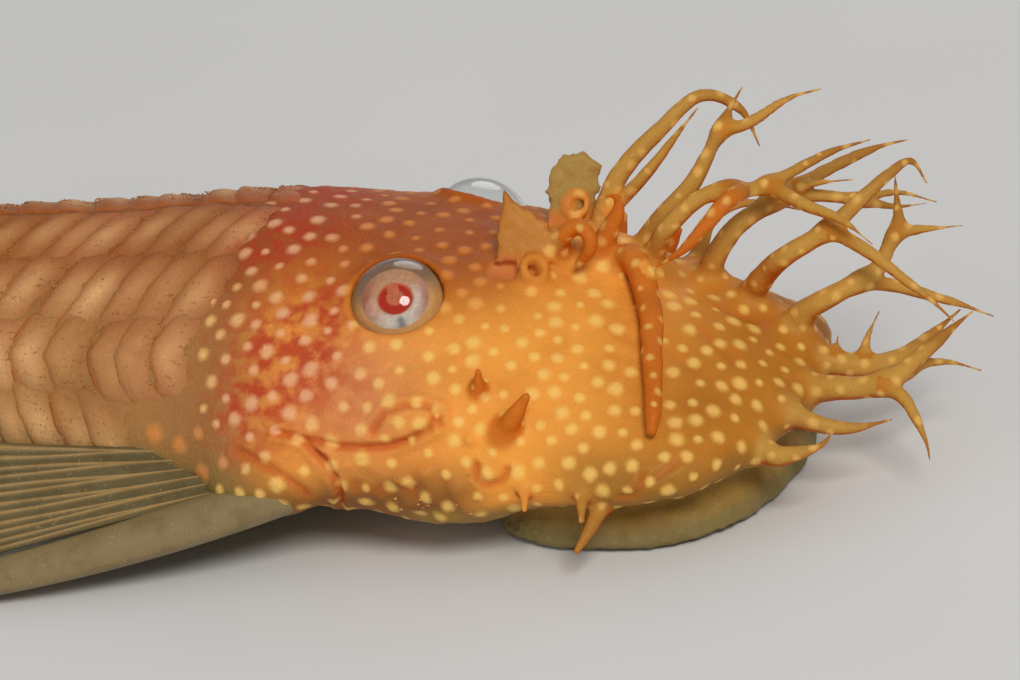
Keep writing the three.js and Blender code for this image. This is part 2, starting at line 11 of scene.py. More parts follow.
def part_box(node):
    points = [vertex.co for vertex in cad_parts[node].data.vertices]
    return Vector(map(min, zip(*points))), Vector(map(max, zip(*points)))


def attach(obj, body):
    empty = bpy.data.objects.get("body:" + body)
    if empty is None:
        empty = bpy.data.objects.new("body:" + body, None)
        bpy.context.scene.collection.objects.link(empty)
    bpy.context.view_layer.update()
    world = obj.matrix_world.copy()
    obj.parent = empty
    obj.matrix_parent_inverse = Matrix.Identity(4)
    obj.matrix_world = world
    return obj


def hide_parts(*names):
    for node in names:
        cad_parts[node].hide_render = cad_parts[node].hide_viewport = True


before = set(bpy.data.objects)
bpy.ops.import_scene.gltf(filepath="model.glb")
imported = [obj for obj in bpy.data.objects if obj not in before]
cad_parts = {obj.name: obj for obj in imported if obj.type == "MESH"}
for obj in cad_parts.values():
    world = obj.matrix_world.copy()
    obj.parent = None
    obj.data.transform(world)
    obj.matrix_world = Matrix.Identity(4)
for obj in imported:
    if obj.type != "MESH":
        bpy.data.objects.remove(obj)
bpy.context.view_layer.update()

# Bristlenose pleco, albino male, at life size: one skin, overlapping bony plates, granules, rayed fins
# and clear eyes. Lengths are in millimetres in the fish's own frame until a mesh is made: X = 0 is the
# tip of the snout, +X is forward, +Y is the fish's left and Z = 0 is the floor. d is -X.
MM = 0.001
VOXEL = 0.2  # size of the cells in which the skin is modelled
SEED = 7

# Body, as in the solids
BODY_LENGTH = 98
NOSE_START = 0.12
SNOUT_HALF_WIDTH = 13.5
SNOUT_ROUNDING = 8.5
SNOUT_POWER = 2.7
SWAY_START = 52
SWAY_LENGTH = 74
SWAY = 7
TOP_LINE = [[0, 7], [1.5, 8.6], [4, 10.5], [7, 12.1], [11, 14], [16, 15.9], [22.5, 17.1],
            [35, 18.6], [46, 17.9], [58, 17.4], [70, 16.4], [84, 14.5], [92, 13.8], [98, 14.2]]
BELLY_LINE = [[0, 4.5], [3, 3.2], [10, 2.6], [20, 1.6], [28, 0.7], [40, 0.5], [60, 0.7], [70, 1.2],
              [80, 2.2], [90, 2.9], [98, 3]]
HALF_WIDTH = [[8.5, 13.5], [16, 14], [24, 15.2], [30, 16], [38, 14.4], [50, 12.4], [62, 9.8],
              [75, 6.8], [88, 4.2], [98, 3.2]]
WIDEST_LEVEL = [[0, 6], [8, 5.6], [22, 6.2], [35, 6.5], [50, 6.5], [70, 6.6], [98, 8.6]]
UPPER_POWER = [[0, 1.7], [5, 1.5], [12, 1.7], [22.5, 2], [29, 1.75], [50, 1.7], [70, 1.7], [98, 2]]
LOWER_POWER = [[0, 2.4], [18, 2.8], [24, 2.1], [28, 1.6], [33, 1.45], [42, 1.5], [58, 1.9], [98, 2.2]]
BROW_SPOT = (-22.4, -8, 16)
BROW_HEIGHT = 0.2
BROW_SPREAD = 2.8

# Face, right side
EYE_CENTRE = np.array([-23.1, -6.7, 14.6])
EYE_AXIS = np.array([0.25, -0.6, 0.8])
SHIFT = np.mean(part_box("eye_right"), axis=0) / MM - EYE_CENTRE  # from the fish's frame to the part's
SHIFT[2] = 0
EYE_OPENING = 2.98
EYE_MOUND = 3.05  # radius of the mound of flesh round the eye
EYE_MOUND_DEPTH = 0.3
SOCKET_FLOOR = 0.4
RIM_LEVEL = 0.86
RIM_RADIUS = 3.08
RIM_THICKNESS = 0.17
PLATE_DEPTH = 0.2  # how far the skin lies inside the solids under the plates
PLATES_START = 35.5
NOSTRIL_SPOT = np.array([-15.3, -3.4, 15.3])
NOSTRIL_AXIS = np.array([0.3, -0.35, 0.9])
NOSTRIL_OPENING = np.array([0.78, -0.35, 0.52])  # the way the front opening looks
REAR_NOSTRIL = np.array([-1.75, -0.25, 0.5])  # middle of the rear opening's bowl, from the front one
REAR_NOSTRIL_SIZE = (1.35, 0.8, 0.42)
TUBE_RADIUS = 0.9
TUBE_RIM = 0.72
TUBE_BORE = 0.46
OPERCLE = {"at": (-20.6, -12.7, 9.8), "size": (3.3, 1.6, 1.7), "pitch": 12}
CHEEK = {"at": (-19.8, -12.4, 5.6), "size": (6, 2.5, 3.0), "pitch": 8}
SHOULDER = {"at": (-30.2, -14.2, 5.9), "size": (4.4, 2.5, 2.3), "pitch": -6}
LIPS = {"d": 10.6, "half_length": 9.7, "half_width": 11.5, "height": 4, "mouth_line": 8, "power": 2.5}

# The oblique plane in which the tentacles are laid out: u forward, v up, w out of it to the right
PLANE = {"yaw": 26.5, "elevation": 22.5, "roll": 9.5, "distance": 450}
PLANE_CENTRE = np.array([-18.86, -0.79, 9.67])
FEELER_GIRTH = 1.1
THINNEST = 0.4  # least thickness of a feeler before its tip is drawn out
ROOT_DEPTH = 1.6
FEELERS_END = -20  # no feeler stands further back
ARM_REACH = 1.9  # how far round a feeler the clay is worked

TENTACLES = {
    "tentacle_01": [
        (1.3, [[5.6, 5.7, 1], [6.6, 9.9, 1.6], [9.4, 13.2, 1.6], [12.1, 15.4, 1.5], [14.5, 14.5, 1],
               [15.7, 12.2, 0.8]]),
        (0.9, [[6.2, 8, 1.4], [8.6, 10.5, 3.6], [10.4, 12.8, 5.2], [11.8, 14.6, 6]])],
    "tentacle_02": [
        (1.4, [[7.9, 5, 1.2], [9.4, 7.4, 3], [11.5, 9.9, 4.5], [12.8, 12.4, 5], [13.9, 14.7, 5],
               [14.6, 15.9, 5]]),
        (0.8, [[13.3, 13.2, 5], [14.9, 13.6, 5.8], [17.5, 15.2, 6.4], [19.5, 15.8, 6.4]])],
    "tentacle_03": [
        (1.2, [[8.7, 4.4, 2], [9.9, 7, 5], [12.3, 9.1, 6], [15.7, 9.6, 6], [18.7, 11.1, 5],
               [20.3, 11.9, 4.5], [22.6, 12.6, 4]]),
        (0.9, [[16.3, 9.7, 5.9], [18.3, 8.6, 7.4], [20.9, 7.5, 9], [22.8, 6, 10]]),
        (1.15, [[13.7, 9.35, 6.1], [14.4, 9.3, 7.1], [13.7, 8.8, 8.1], [12.3, 7.2, 8.3],
                [10.8, 5.6, 7.8], [9, 4.5, 6.6]])],
    "tentacle_04": [
        (1.2, [[2.9, 5.2, 3.5], [3.3, 6.5, 5.6], [4.3, 7.15, 6.4], [5, 6.5, 6.8], [5, 5.6, 6.7],
               [4.3, 4.8, 6.2]])],
    "tentacle_05": [
        (0.9, [[11.8, 4.2, -1.2], [12.1, 6.3, -1.6], [12.8, 7.7, -2.2], [14.6, 8.6, -3],
               [16.7, 8.5, -3.4], [18.2, 8.2, -3.8]])],
    "tentacle_06": [
        (1.3, [[12.3, 3.5, 0.6], [12.9, 5.2, 2], [14.1, 7, 2.6], [16.3, 8.6, 2], [18, 9.6, 1.4],
               [20.3, 10.9, 0.8], [23.3, 12.2, 0.2], [25, 12.6, 0]]),
        (0.6, [[17.8, 9.5, 1.4], [19.4, 9.9, 2.2], [21.5, 10.1, 2.6]]),
        (0.9, [[16.4, 8.7, 2], [18.7, 9.1, 1], [21.3, 8.9, 0.6], [24.3, 8.4, 0.4], [26.2, 8.6, 0.2]]),
        (0.6, [[21.9, 8.8, 0.5], [24.3, 9.3, -1], [26.8, 8.7, -2]])],
    "tentacle_07": [
        (1.4, [[14.8, 2.3, 1.4], [16.2, 4.3, 4.2], [17.5, 5.4, 6], [20.1, 7, 6.8], [21.8, 8.6, 6.8],
               [23.8, 10.4, 6.6], [25.2, 11.3, 6.2], [26.2, 9.9, 5.8]]),
        (0.9, [[20, 7, 6.8], [22.3, 5.7, 7.8], [24.7, 3.9, 8.6], [26.5, 2.5, 9], [27.9, 1.2, 9.2]])],
    "tentacle_08": [
        (1.4, [[17.3, 0.7, 2.1], [18.7, 1.9, 3.9], [20.3, 2.8, 4.8], [21.8, 3.6, 4.6], [23.1, 4.5, 4.4],
               [23.9, 6.1, 4.2], [24.4, 7.1, 4.2], [24.3, 9.1, 3.6], [24.2, 10.4, 3.2]]),
        (0.7, [[24.3, 6.8, 4.2], [26.2, 7, 5], [28.4, 7.2, 5.4]]),
        (0.9, [[22.1, 3.7, 4.5], [24.3, 3.4, 3.6], [26.4, 2.8, 3.2], [28.2, 2.3, 2.8],
               [30.4, 1.5, 2.4]])],
    "tentacle_09": [
        (1.4, [[18.9, -0.9, 2.4], [20.3, -1.4, 2.9], [21.9, -1.6, 2.8], [23.4, -1.4, 2.4],
               [24.8, -0.9, 2], [26.8, 0.6, 1], [28.3, 1.9, 0.4]]),
        (0.7, [[20.3, -1.3, 2.8], [20.5, -0.6, 2.8], [20.6, 0.2, 2.8]]),
        (0.7, [[22.1, -1.6, 2.7], [22.5, 0.2, 2.6], [23.2, 1.8, 2.6]])],
    "tentacle_10": [
        (1.5, [[18.3, -3.1, 5.1], [20.5, -3, 6], [22, -3, 6.4], [23.8, -2.6, 6.8], [25.8, -1, 6.2],
               [28.1, 1, 5.6], [29.1, 1.8, 5.2]]),
        (0.9, [[23.4, -2.8, 6.8], [24.7, -3.6, 7.8], [25.3, -4.5, 8.6], [26.2, -6.5, 9.6],
               [26.4, -7.5, 10]]),
        (0.8, [[23.7, -2.6, 6.7], [25, -2.2, 5], [26, -1.5, 4.2], [27.7, -1.4, 3.6],
               [29.6, -1.9, 3.2]])],
    "tentacle_11": [
        (1.2, [[17.1, -4.4, 7.7], [19.1, -5.2, 8.6], [20.5, -5.5, 8.8], [21.9, -5.5, 9],
               [24, -5, 8.6]])],
    "tentacle_12": [
        (1.3, [[15.6, -6.7, 10], [16.8, -7.3, 11], [17.7, -7.2, 11.4], [18.6, -7, 11.8],
               [19.6, -6.6, 11.8], [20.3, -5.8, 11.4]])],
    "tentacle_13": [
        (1.6, [[7, 4.2, 3.4], [7.5, 5.2, 4.7], [8.2, 4.4, 5.9], [8.6, 2.8, 6.9], [8.9, 1.3, 8.3],
               [8.9, -0.4, 9.8], [9, -2.6, 11.7], [9, -4.5, 13.2], [8.9, -5.7, 13.8]])],
    "tentacle_14": [
        (1.5, [[5.3, 4.9, 3], [6.1, 6.6, 4.4], [6.8, 8.1, 5.2], [6.8, 8.9, 5.6], [6.3, 9.1, 5.9],
               [5.6, 8.9, 6.1]])],
}
BLUNT = ("tentacle_04", "tentacle_13")
WARM = (("tentacle_03", 2), ("tentacle_04", 0), ("tentacle_13", 0), ("tentacle_14", 0))
MARGIN_TENTACLES = [
    (0.9, [[-2, -3.4, 10.2], [-2, -2.7, 11.2], [-2, -2, 11.8]]),
    (1.25, [[-0.3, -5.8, 11], [0.2, -4.9, 12.3], [1, -3.6, 13.2]]),
    (0.8, [[0.9, -9, 10.9], [0.9, -9.9, 12], [0.9, -10.7, 12.6]]),
    (0.8, [[4.5, -9.3, 12.2], [4.5, -10.4, 13.4], [4.5, -11.4, 13.9]]),
    (0.9, [[5.9, -10.1, 11.6], [5.2, -11.6, 12.6], [4.2, -13.3, 13.2]]),
]
FLAP_THICKNESS = 0.7
FLAPS = {
    "right": (5, [[-0.9, 4.9], [-0.9, 6.6], [-0.4, 9.4], [2.5, 7.2], [3, 5]]),
    "left": (-0.4, [[2.6, 6.7], [2.2, 10.1], [3, 11.5], [4.4, 11.9], [5.8, 11.4], [5.8, 9.9],
                    [4.9, 6.7]]),
}
FLAP_NOTCH = {"right": 0.12, "left": 0.17}
FLAP_ZONES = {  # where the skin belongs to a flap: its w, half depth, and the least and most of its u
    "right": (5.3, 0.8, -1.4, 3.4), "left": (-0.1, 0.7, 1.5, 6.3)}
FLAPS_FROM = 5  # least v of a flap
FAR_FLAP_TINT = 0.6  # half depth of the far flap's colour

# Folds of the skin on the right side, as lines on it, sunk into it and darkened with painted shade; the left
# side mirrors them
FOLDS = [
    # depth, half width, points
    (0.34, 0.22, [[-28.6, -15.2, 9.7], [-27.5, -15.0, 9.4], [-26.0, -14.9, 9.0], [-24.7, -14.9, 8.7],
                  [-23.2, -14.7, 8.6], [-21.7, -14.5, 8.6], [-20.2, -14.1, 8.9], [-18.9, -13.5, 9.5],
                  [-18.4, -12.9, 10.4]]),
    (0.28, 0.22, [[-22.5, -14.3, 9.5], [-21.8, -13.6, 10.5], [-20.6, -13.2, 10.8], [-19.4, -12.9, 10.7],
                  [-18.5, -13.0, 10.3], [-18.3, -13.3, 9.6]]),
    (0.34, 0.22, [[-26.8, -15.1, 9.0], [-25.6, -15.2, 7.9], [-25.1, -15.3, 6.9], [-24.9, -15.3, 5.8],
                 [-25.2, -15.0, 4.6]]),
    (0.22, 0.26, [[-31.4, -15.5, 8.5], [-29.2, -15.8, 7.5], [-28.0, -15.8, 6.7], [-27.1, -15.7, 5.8]]),
    (0.14, 0.24, [[-27.4, -15.0, 9.1], [-26.0, -15.2, 8.2], [-25.5, -15.3, 7.0]]),
    (0.26, 0.22, [[-16.1, -13.8, 7.2], [-16.0, -14.0, 6.4], [-15.5, -13.9, 5.9], [-14.6, -13.8, 6.1],
                  [-14.1, -13.6, 6.8]]),
    (0.06, 0.3, [[-10.2, -4.8, 12.7], [-7.9, -5.1, 11.5], [-5.0, -4.7, 10.2], [-2.9, -5.2, 9.0],
                 [-1.8, -4.1, 8.4]]),
    (0.2, 0.24, [[-6.8, -13.4, 5.1], [-6.1, -13.3, 5.1], [-5.6, -13.2, 5.7], [-5.5, -12.8, 6.3]]),
    (0.12, 0.24, [[-5.3, -13.0, 6.0], [-4.5, -12.5, 6.3], [-3.7, -11.6, 6.7]]),
    (0.1, 0.3, [[-5.3, -1.7, 11.1], [-4.0, -2.1, 10.3], [-2.8, -2.7, 9.4]]),
    (0.14, 0.26, [[-24.0, -15.0, 6.2], [-22.6, -15.0, 5.8], [-21.4, -14.8, 6.2], [-20.2, -14.8, 5.8]]),
]
CHEEK_LUMPS = [
    # place, radius, height
    ((-22.2, -14.8, 7.2), 0.9, 0.35), ((-20.9, -14.9, 6.6), 0.8, 0.4), ((-19.2, -14.6, 7.0), 0.8, 0.32),
    ((-19.0, -14.7, 5.4), 0.8, 0.4), ((-17.3, -14.1, 5.9), 0.9, 0.32), ((-20.6, -14.8, 5.0), 0.8, 0.35),
    ((-17.6, -14.1, 4.8), 0.7, 0.32), ((-24.2, -15.1, 7.6), 0.6, 0.4), ((-23.2, -15.1, 6.0), 0.7, 0.32),
    ((-16.4, -13.4, 8.7), 0.55, 0.48),
]
ROUGH_CHEEK = ((-20, -14, 5.5), (4.5, 3, 2.4))  # middle and half sizes

# Pink blush behind the eye and below it
BLUSH = [
    # place, radius, strength
    ((-30.1, -13.3, 12.0), 2.64, 0.75), ((-28.1, -11.2, 13.8), 2.29, 1.0), ((-26.9, -8.4, 15.6), 1.76, 0.65),
    ((-32.4, -4.4, 17.6), 2.46, 0.75), ((-31.0, -1.3, 18.3), 2.46, 0.5), ((-24.5, -13.3, 11.5), 1.76, 0.35),
    ((-31.0, -14.6, 10.0), 1.76, 0.55), ((-33.2, -9.6, 15.2), 2.11, 0.3),
]
PECTORAL_BASE = ((-35.4, -14.6, 8.0), (5.4, 3, 1.9))


# Outlines and smooth curves

def curve_at(outline, d):
    """Value of an outline at distances d, as a smooth curve through its points."""
    places, values = np.array(outline, float).T
    slopes = np.empty_like(values)
    slopes[1:-1] = (values[2:] - values[:-2]) / (places[2:] - places[:-2])
    slopes[0] = (values[1] - values[0]) / (places[1] - places[0])
    slopes[-1] = (values[-1] - values[-2]) / (places[-1] - places[-2])
    d = np.clip(np.asarray(d, float), places[0], places[-1])
    i = np.clip(np.searchsorted(places, d, side="right") - 1, 0, len(places) - 2)
    span = places[i + 1] - places[i]
    t = (d - places[i]) / span
    rise = t * t * (3 - 2 * t)
    start = t * (1 - t) ** 2 * span * slopes[i]
    end = -t * t * (1 - t) * span * slopes[i + 1]
    return values[i] * (1 - rise) + values[i + 1] * rise + start + end


def half_width_at(d):
    d = np.asarray(d, float)
    rest = np.clip(1 - d / SNOUT_ROUNDING, 0, 1) ** SNOUT_POWER
    rounded = SNOUT_HALF_WIDTH * (1 - rest) ** (1 / SNOUT_POWER)
    return np.where(d < SNOUT_ROUNDING, rounded, curve_at(HALF_WIDTH, d))


def sway_at(x):
    return SWAY * (np.maximum(-SWAY_START - x, 0) / SWAY_LENGTH) ** 2


def smoothstep(low, high, value):
    t = np.clip((value - low) / (high - low), 0, 1)
    return t * t * (3 - 2 * t)


def unit(vector):
    vector = np.asarray(vector, float)
    return vector / np.linalg.norm(vector, axis=-1, keepdims=True)


def plane_axes():
    """Forward, upward and outward directions of the oblique plane."""
    yaw, lift, roll = (math.radians(PLANE[k]) for k in ("yaw", "elevation", "roll"))
    out = np.array([math.sin(yaw) * math.cos(lift), -math.cos(yaw) * math.cos(lift), math.sin(lift)])
    level = np.array([math.cos(yaw), math.sin(yaw), 0])
    forward = level * math.cos(roll) - np.cross(out, level) * math.sin(roll)
    return forward, np.cross(out, forward), out


FORWARD, UPWARD, OUTWARD = plane_axes()
CUP_AXIS = 0.8 * OUTWARD + 0.35 * UPWARD - 0.45 * FORWARD


def on_plane(points):
    points = np.asarray(points, float)
    shrink = 1 - points[:, 2:] / PLANE["distance"]
    flat = points[:, :1] * FORWARD + points[:, 1:2] * UPWARD
    return PLANE_CENTRE + shrink * flat + points[:, 2:] * OUTWARD


CUP = on_plane([[4.2, 8.5, 0.75]])[0]  # the rim of the far nostril tube


def through(points, step):
    """A smooth centripetal curve through points, sampled evenly."""
    points = np.asarray(points, float)
    knots = np.vstack([2 * points[0] - points[1], points, 2 * points[-1] - points[-2]])
    pieces = []
    for i in range(1, len(knots) - 2):
        p = knots[i - 1:i + 3]
        t = np.concatenate([[0], np.cumsum(np.linalg.norm(np.diff(p, axis=0), axis=1) ** 0.5)])
        s = np.linspace(t[1], t[2], 24)[:, None]
        a = [(t[k + 1] - s) / (t[k + 1] - t[k]) * p[k] + (s - t[k]) / (t[k + 1] - t[k]) * p[k + 1]
             for k in range(3)]
        b = [(t[k + 2] - s) / (t[k + 2] - t[k]) * a[k] + (s - t[k]) / (t[k + 2] - t[k]) * a[k + 1]
             for k in range(2)]
        c = (t[2] - s) / (t[2] - t[1]) * b[0] + (s - t[1]) / (t[2] - t[1]) * b[1]
        pieces.append(c[:-1])
    dense = np.vstack([*pieces, points[-1:]])
    reach = np.concatenate([[0], np.cumsum(np.linalg.norm(np.diff(dense, axis=0), axis=1))])
    at = np.linspace(0, reach[-1], max(4, int(reach[-1] / step) + 1))
    return np.stack([np.interp(at, reach, dense[:, k]) for k in range(3)], 1), at


# Modelling clay: a block of space whose field is negative inside the body

def smooth_min(a, b, reach):
    blend = np.maximum(reach - np.abs(a - b), 0) / reach
    return np.minimum(a, b) - blend * blend * reach / 4


def smooth_max(a, b, reach):
    return -smooth_min(-a, -b, reach)


class Clay:
    def __init__(self, low, high, cell):
        self.low = np.array(low, float)
        self.cell = cell
        self.axes = [np.arange(a, b, cell, dtype=np.float32) for a, b in zip(low, high)]
        self.field = None

    def part(self, low, high):
        """Slices of the part of the block within a box, and its coordinates."""
        cuts = tuple(slice(*np.searchsorted(axis, (a, b))) for axis, a, b in zip(self.axes, low, high))
        places = np.meshgrid(*[axis[c] for axis, c in zip(self.axes, cuts)], indexing="ij", sparse=True)
        return cuts, places

    def shape(self, make, low, high, reach, cut=False):
        """Joins a shape to the clay, or cuts it out, with a fillet."""
        cuts, (x, y, z) = self.part(low, high)
        made = make(x, y, z)
        here = self.field[cuts]
        self.field[cuts] = smooth_max(here, -made, reach) if cut else smooth_min(here, made, reach)

    def surface(self):
        """Points and quads of the surface of the clay."""
        band = 4 * self.cell
        grid = openvdb.FloatGrid(band)
        grid.copyFromArray(np.clip(self.field, -band, band).astype(np.float32), tolerance=1e-6)
        points, quads = grid.convertToQuads(0.0)
        return points * self.cell + self.low, quads.astype(np.int64)


def body_field(x, y, z, cell):
    """Distance to the body without fins or feelers, nearly true close to its surface."""
    d = np.clip(-x, NOSE_START, BODY_LENGTH)
    top, belly, level, up, low = (curve_at(t, d).astype(np.float32) for t in (
        TOP_LINE, BELLY_LINE, WIDEST_LEVEL, UPPER_POWER, LOWER_POWER))
    width = half_width_at(d).astype(np.float32)
    side = np.abs(y - sway_at(x).astype(np.float32))
    far = (x - BROW_SPOT[0]) ** 2 + (side + BROW_SPOT[1]) ** 2 + (z - BROW_SPOT[2]) ** 2
    brow = np.exp(-far / (2 * BROW_SPREAD ** 2))
    z = z - BROW_HEIGHT * brow
    side = np.maximum(side - 0.5 * BROW_HEIGHT * brow, 0)
    is_upper = z > level
    power = np.where(is_upper, up, low)
    height = np.where(is_upper, top - level, level - belly)
    rise = np.abs(z - level)
    ratio = ((side / width) ** power + (rise / height) ** power) ** (1 / power)
    reach = np.sqrt(side ** 2 + rise ** 2)
    distance = reach - reach / np.maximum(ratio, 1e-3)
    steep = np.sqrt(sum(g ** 2 for g in np.gradient(distance, cell)))
    distance = distance / np.clip(steep, 0.7, 5)
    distance = smooth_max(distance, x + NOSE_START, 2.0)
    return smooth_max(distance, -x - BODY_LENGTH, 1.0)


def ellipsoid(at, size, pitch=0):
    turn = math.radians(pitch)

    def make(x, y, z):
        a, b, c = x - at[0], y - at[1], z - at[2]
        a, c = a * math.cos(turn) - c * math.sin(turn), a * math.sin(turn) + c * math.cos(turn)
        ratio = np.sqrt((a / size[0]) ** 2 + (b / size[1]) ** 2 + (c / size[2]) ** 2)
        reach = np.sqrt(a ** 2 + b ** 2 + c ** 2)
        return reach - reach / np.maximum(ratio, 1e-3)
    return make


def bowl(at, axis, size):
    """An ellipsoid whose longest size lies along the body and whose last size lies along an axis."""
    at, axis = np.asarray(at, float), unit(axis)
    long = unit(np.array([1.0, 0, 0]) - axis[0] * axis)
    short = np.cross(axis, long)

    def make(x, y, z):
        off = (x - at[0], y - at[1], z - at[2])
        lengths = [sum(o * k for o, k in zip(off, way)) for way in (long, short, axis)]
        ratio = np.sqrt(sum((v / n) ** 2 for v, n in zip(lengths, size)))
        reach = np.sqrt(sum(v ** 2 for v in lengths))
        return reach - reach / np.maximum(ratio, 1e-3)
    return make


def round_axis(at, axis, shape):
    """A shape given by its distance along an axis and out from it."""
    at, axis = np.asarray(at, float), unit(axis)

    def make(x, y, z):
        a, b, c = x - at[0], y - at[1], z - at[2]
        along = a * axis[0] + b * axis[1] + c * axis[2]
        out = np.sqrt(np.maximum(a ** 2 + b ** 2 + c ** 2 - along ** 2, 0))
        return shape(along, out)
    return make


def ring(at, axis, radius, thickness):
    return round_axis(at, axis, lambda along, out: np.sqrt((out - radius) ** 2 + along ** 2) - thickness)


def rod(at, axis, radius, start, end):
    return round_axis(at, axis, lambda along, out: np.maximum(
        out - radius, np.maximum(start - along, along - end)))


def both_sides(at):
    at = np.asarray(at, float)
    return at, at * np.array([1, -1, 1])


def box_round(points, margin):
    points = np.atleast_2d(points)
    return points.min(0) - margin, points.max(0) + margin


def sucker(x, y, z):
    """The round sucker: a broad soft rim on the floor, hollowed in the middle."""
    a, b = np.abs(x + LIPS["d"]) / LIPS["half_length"], np.abs(y) / LIPS["half_width"]
    ratio = (a ** LIPS["power"] + b ** LIPS["power"]) ** (1 / LIPS["power"])
    edge = np.interp(z, [0, 0.5, 1.9, 4], [0.955, 0.99, 0.94, 0.8]).astype(np.float32)
    reach = np.sqrt((x + LIPS["d"]) ** 2 + y ** 2)
    side = reach - reach * edge / np.maximum(ratio, 1e-3)
    under = smoothstep(0.74, 0.6, ratio) * 1.3
    mouth = np.exp(-((x + LIPS["mouth_line"]) / 0.5) ** 2) * smoothstep(0.45, 0.3, ratio)
    shell = smooth_max(side, under + 1.2 * mouth - z, 0.7)
    return np.maximum(shell, z - LIPS["height"] - 0.6)


def flap_field(w, outline, notch):
    """A thin upright flap whose outline is drawn on the oblique plane, with a notched edge."""
    outline = np.array(outline, float)

    def make(x, y, z):
        a, b, c = x - PLANE_CENTRE[0], y - PLANE_CENTRE[1], z - PLANE_CENTRE[2]
        out = a * OUTWARD[0] + b * OUTWARD[1] + c * OUTWARD[2]
        shrink = 1 - out / PLANE["distance"]
        u = (a * FORWARD[0] + b * FORWARD[1] + c * FORWARD[2]) / shrink
        v = (a * UPWARD[0] + b * UPWARD[1] + c * UPWARD[2]) / shrink
        nearest = np.full(u.shape, 99.0)
        inside = np.zeros(u.shape, bool)
        for p, q in zip(outline, np.roll(outline, -1, 0)):
            t = np.clip(((u - p[0]) * (q[0] - p[0]) + (v - p[1]) * (q[1] - p[1]))
                        / np.sum((q - p) ** 2), 0, 1)
            nearest = np.minimum(nearest, np.hypot(u - p[0] - t * (q[0] - p[0]),
                                                   v - p[1] - t * (q[1] - p[1])))
            crosses = (p[1] > v) != (q[1] > v)
            inside ^= crosses & (u < (q[0] - p[0]) * (v - p[1]) / (q[1] - p[1] + 1e-9) + p[0])
        flat = np.where(inside, -nearest, nearest)
        round_way = np.arctan2(v - outline[:, 1].mean(), u - outline[:, 0].mean())
        teeth = np.abs((round_way * 5.5 + 0.5 * np.sin(round_way * 5)) % 1 - 0.5) * 2
        flat = flat + notch * (2.2 * teeth - 0.8 + 0.7 * np.sin(round_way * 9))
        thick = FLAP_THICKNESS / 2
        return smooth_max(flat, np.abs(out - w - thick) - thick, 0.3)
    return make


# Feelers

def make_arms():
    """Every arm of every tentacle as its axis points, radii and kind."""
    arms = []

    def add(width, route, first, blunt, warm, side=1, bare=0.0):
        points = on_plane(route)
        if first:
            points = np.vstack([points[0] + unit(points[0] - points[1]) * ROOT_DEPTH, points])
        axis, at = through(points, 0.2)
        axis[:, 1] *= side
        share = at / at[-1]
        keep = 0.55 if blunt else 0.3
        radius = np.maximum(FEELER_GIRTH * width * (1 - (1 - keep) * share ** 1.6), THINNEST) / 2
        if first:
            radius = radius + min(0.28, 0.04 * at[-1]) * np.exp(-np.maximum(at - ROOT_DEPTH, 0) / 1.4)
        left = at[-1] - at
        taper = 1.2 if blunt else min(3.2, 0.8 * at[-1])
        drawn = 1 - (0.25 if blunt else 0.68) * (1 - smoothstep(0, taper, left))
        arms.append({"axis": axis, "at": at, "share": share, "radius": radius, "drawn": drawn,
                     "warm": warm, "first": first, "bare": bare})

    for name, limbs in TENTACLES.items():
        for index, (width, route) in enumerate(limbs):
            add(width, route, index == 0, name in BLUNT, (name, index) in WARM)
    for number, (width, route) in enumerate(MARGIN_TENTACLES):
        for side in (1, -1):
            add(width, route, True, True, number < 2, side, 0.8)
    return arms


def join_arm(clay, arm):
    fillet = (0.8 if arm["bare"] else min(2.2, 0.25 * arm["at"][-1])) if arm["first"] else 0.8
    start = ROOT_DEPTH if arm["first"] else 0
    reach = 0.12 + fillet * np.exp(-(np.maximum(arm["at"] - start, 0) / 1.5) ** 2)
    low, high = box_round(arm["axis"], 2.4)
    cuts, (x, y, z) = clay.part(low, high)
    nearest = np.full(clay.field[cuts].shape, 9, np.float32)
    fillets = np.full(nearest.shape, 0.12, np.float32)
    grid = [axis[c] for axis, c in zip(clay.axes, cuts)]
    for point, radius, fillet_here in zip(arm["axis"], arm["radius"], reach):
        part = tuple(slice(*np.searchsorted(g, (p - radius - ARM_REACH, p + radius + ARM_REACH)))
                     for g, p in zip(grid, point))
        a, b, c = (g[s] - p for g, s, p in zip(grid, part, point))
        away = np.sqrt(a[:, None, None] ** 2 + b[None, :, None] ** 2 + c[None, None, :] ** 2) - radius
        closer = away < nearest[part]
        nearest[part][closer] = away[closer]
        fillets[part][closer] = fillet_here
    clay.field[cuts] = smooth_min(clay.field[cuts], nearest, fillets)


def model_skin(arms):
    """Points and quads of the one skin of body, face, lips and feelers."""
    ends = np.vstack([a["axis"] for a in arms])
    low = np.minimum(ends.min(0) - 1.5, [-BODY_LENGTH - 1.5, -17.5, -1])
    high = np.maximum(ends.max(0) + 1.5, [2, 17.5, 20.5])
    clay = Clay(low, high, VOXEL)
    x, y, z = clay.part(low - 1, high + 1)[1]
    clay.field = body_field(x, y, z, VOXEL).astype(np.float32)
    clay.field += (PLATE_DEPTH * smoothstep(PLATES_START - 2.5, PLATES_START, -x)).astype(np.float32)
    clay.shape(sucker, (-22, -14, -1), (1, 14, 6), 1.1)
    for spot in (OPERCLE, CHEEK, SHOULDER):
        for at in both_sides(spot["at"]):
            low, high = box_round(at, max(spot["size"]) + 1.5)
            clay.shape(ellipsoid(at, spot["size"], spot["pitch"]), low, high, 0.7)
    model_eyes_and_nostrils(clay)
    for arm in arms:
        join_arm(clay, arm)
    return clay.surface()


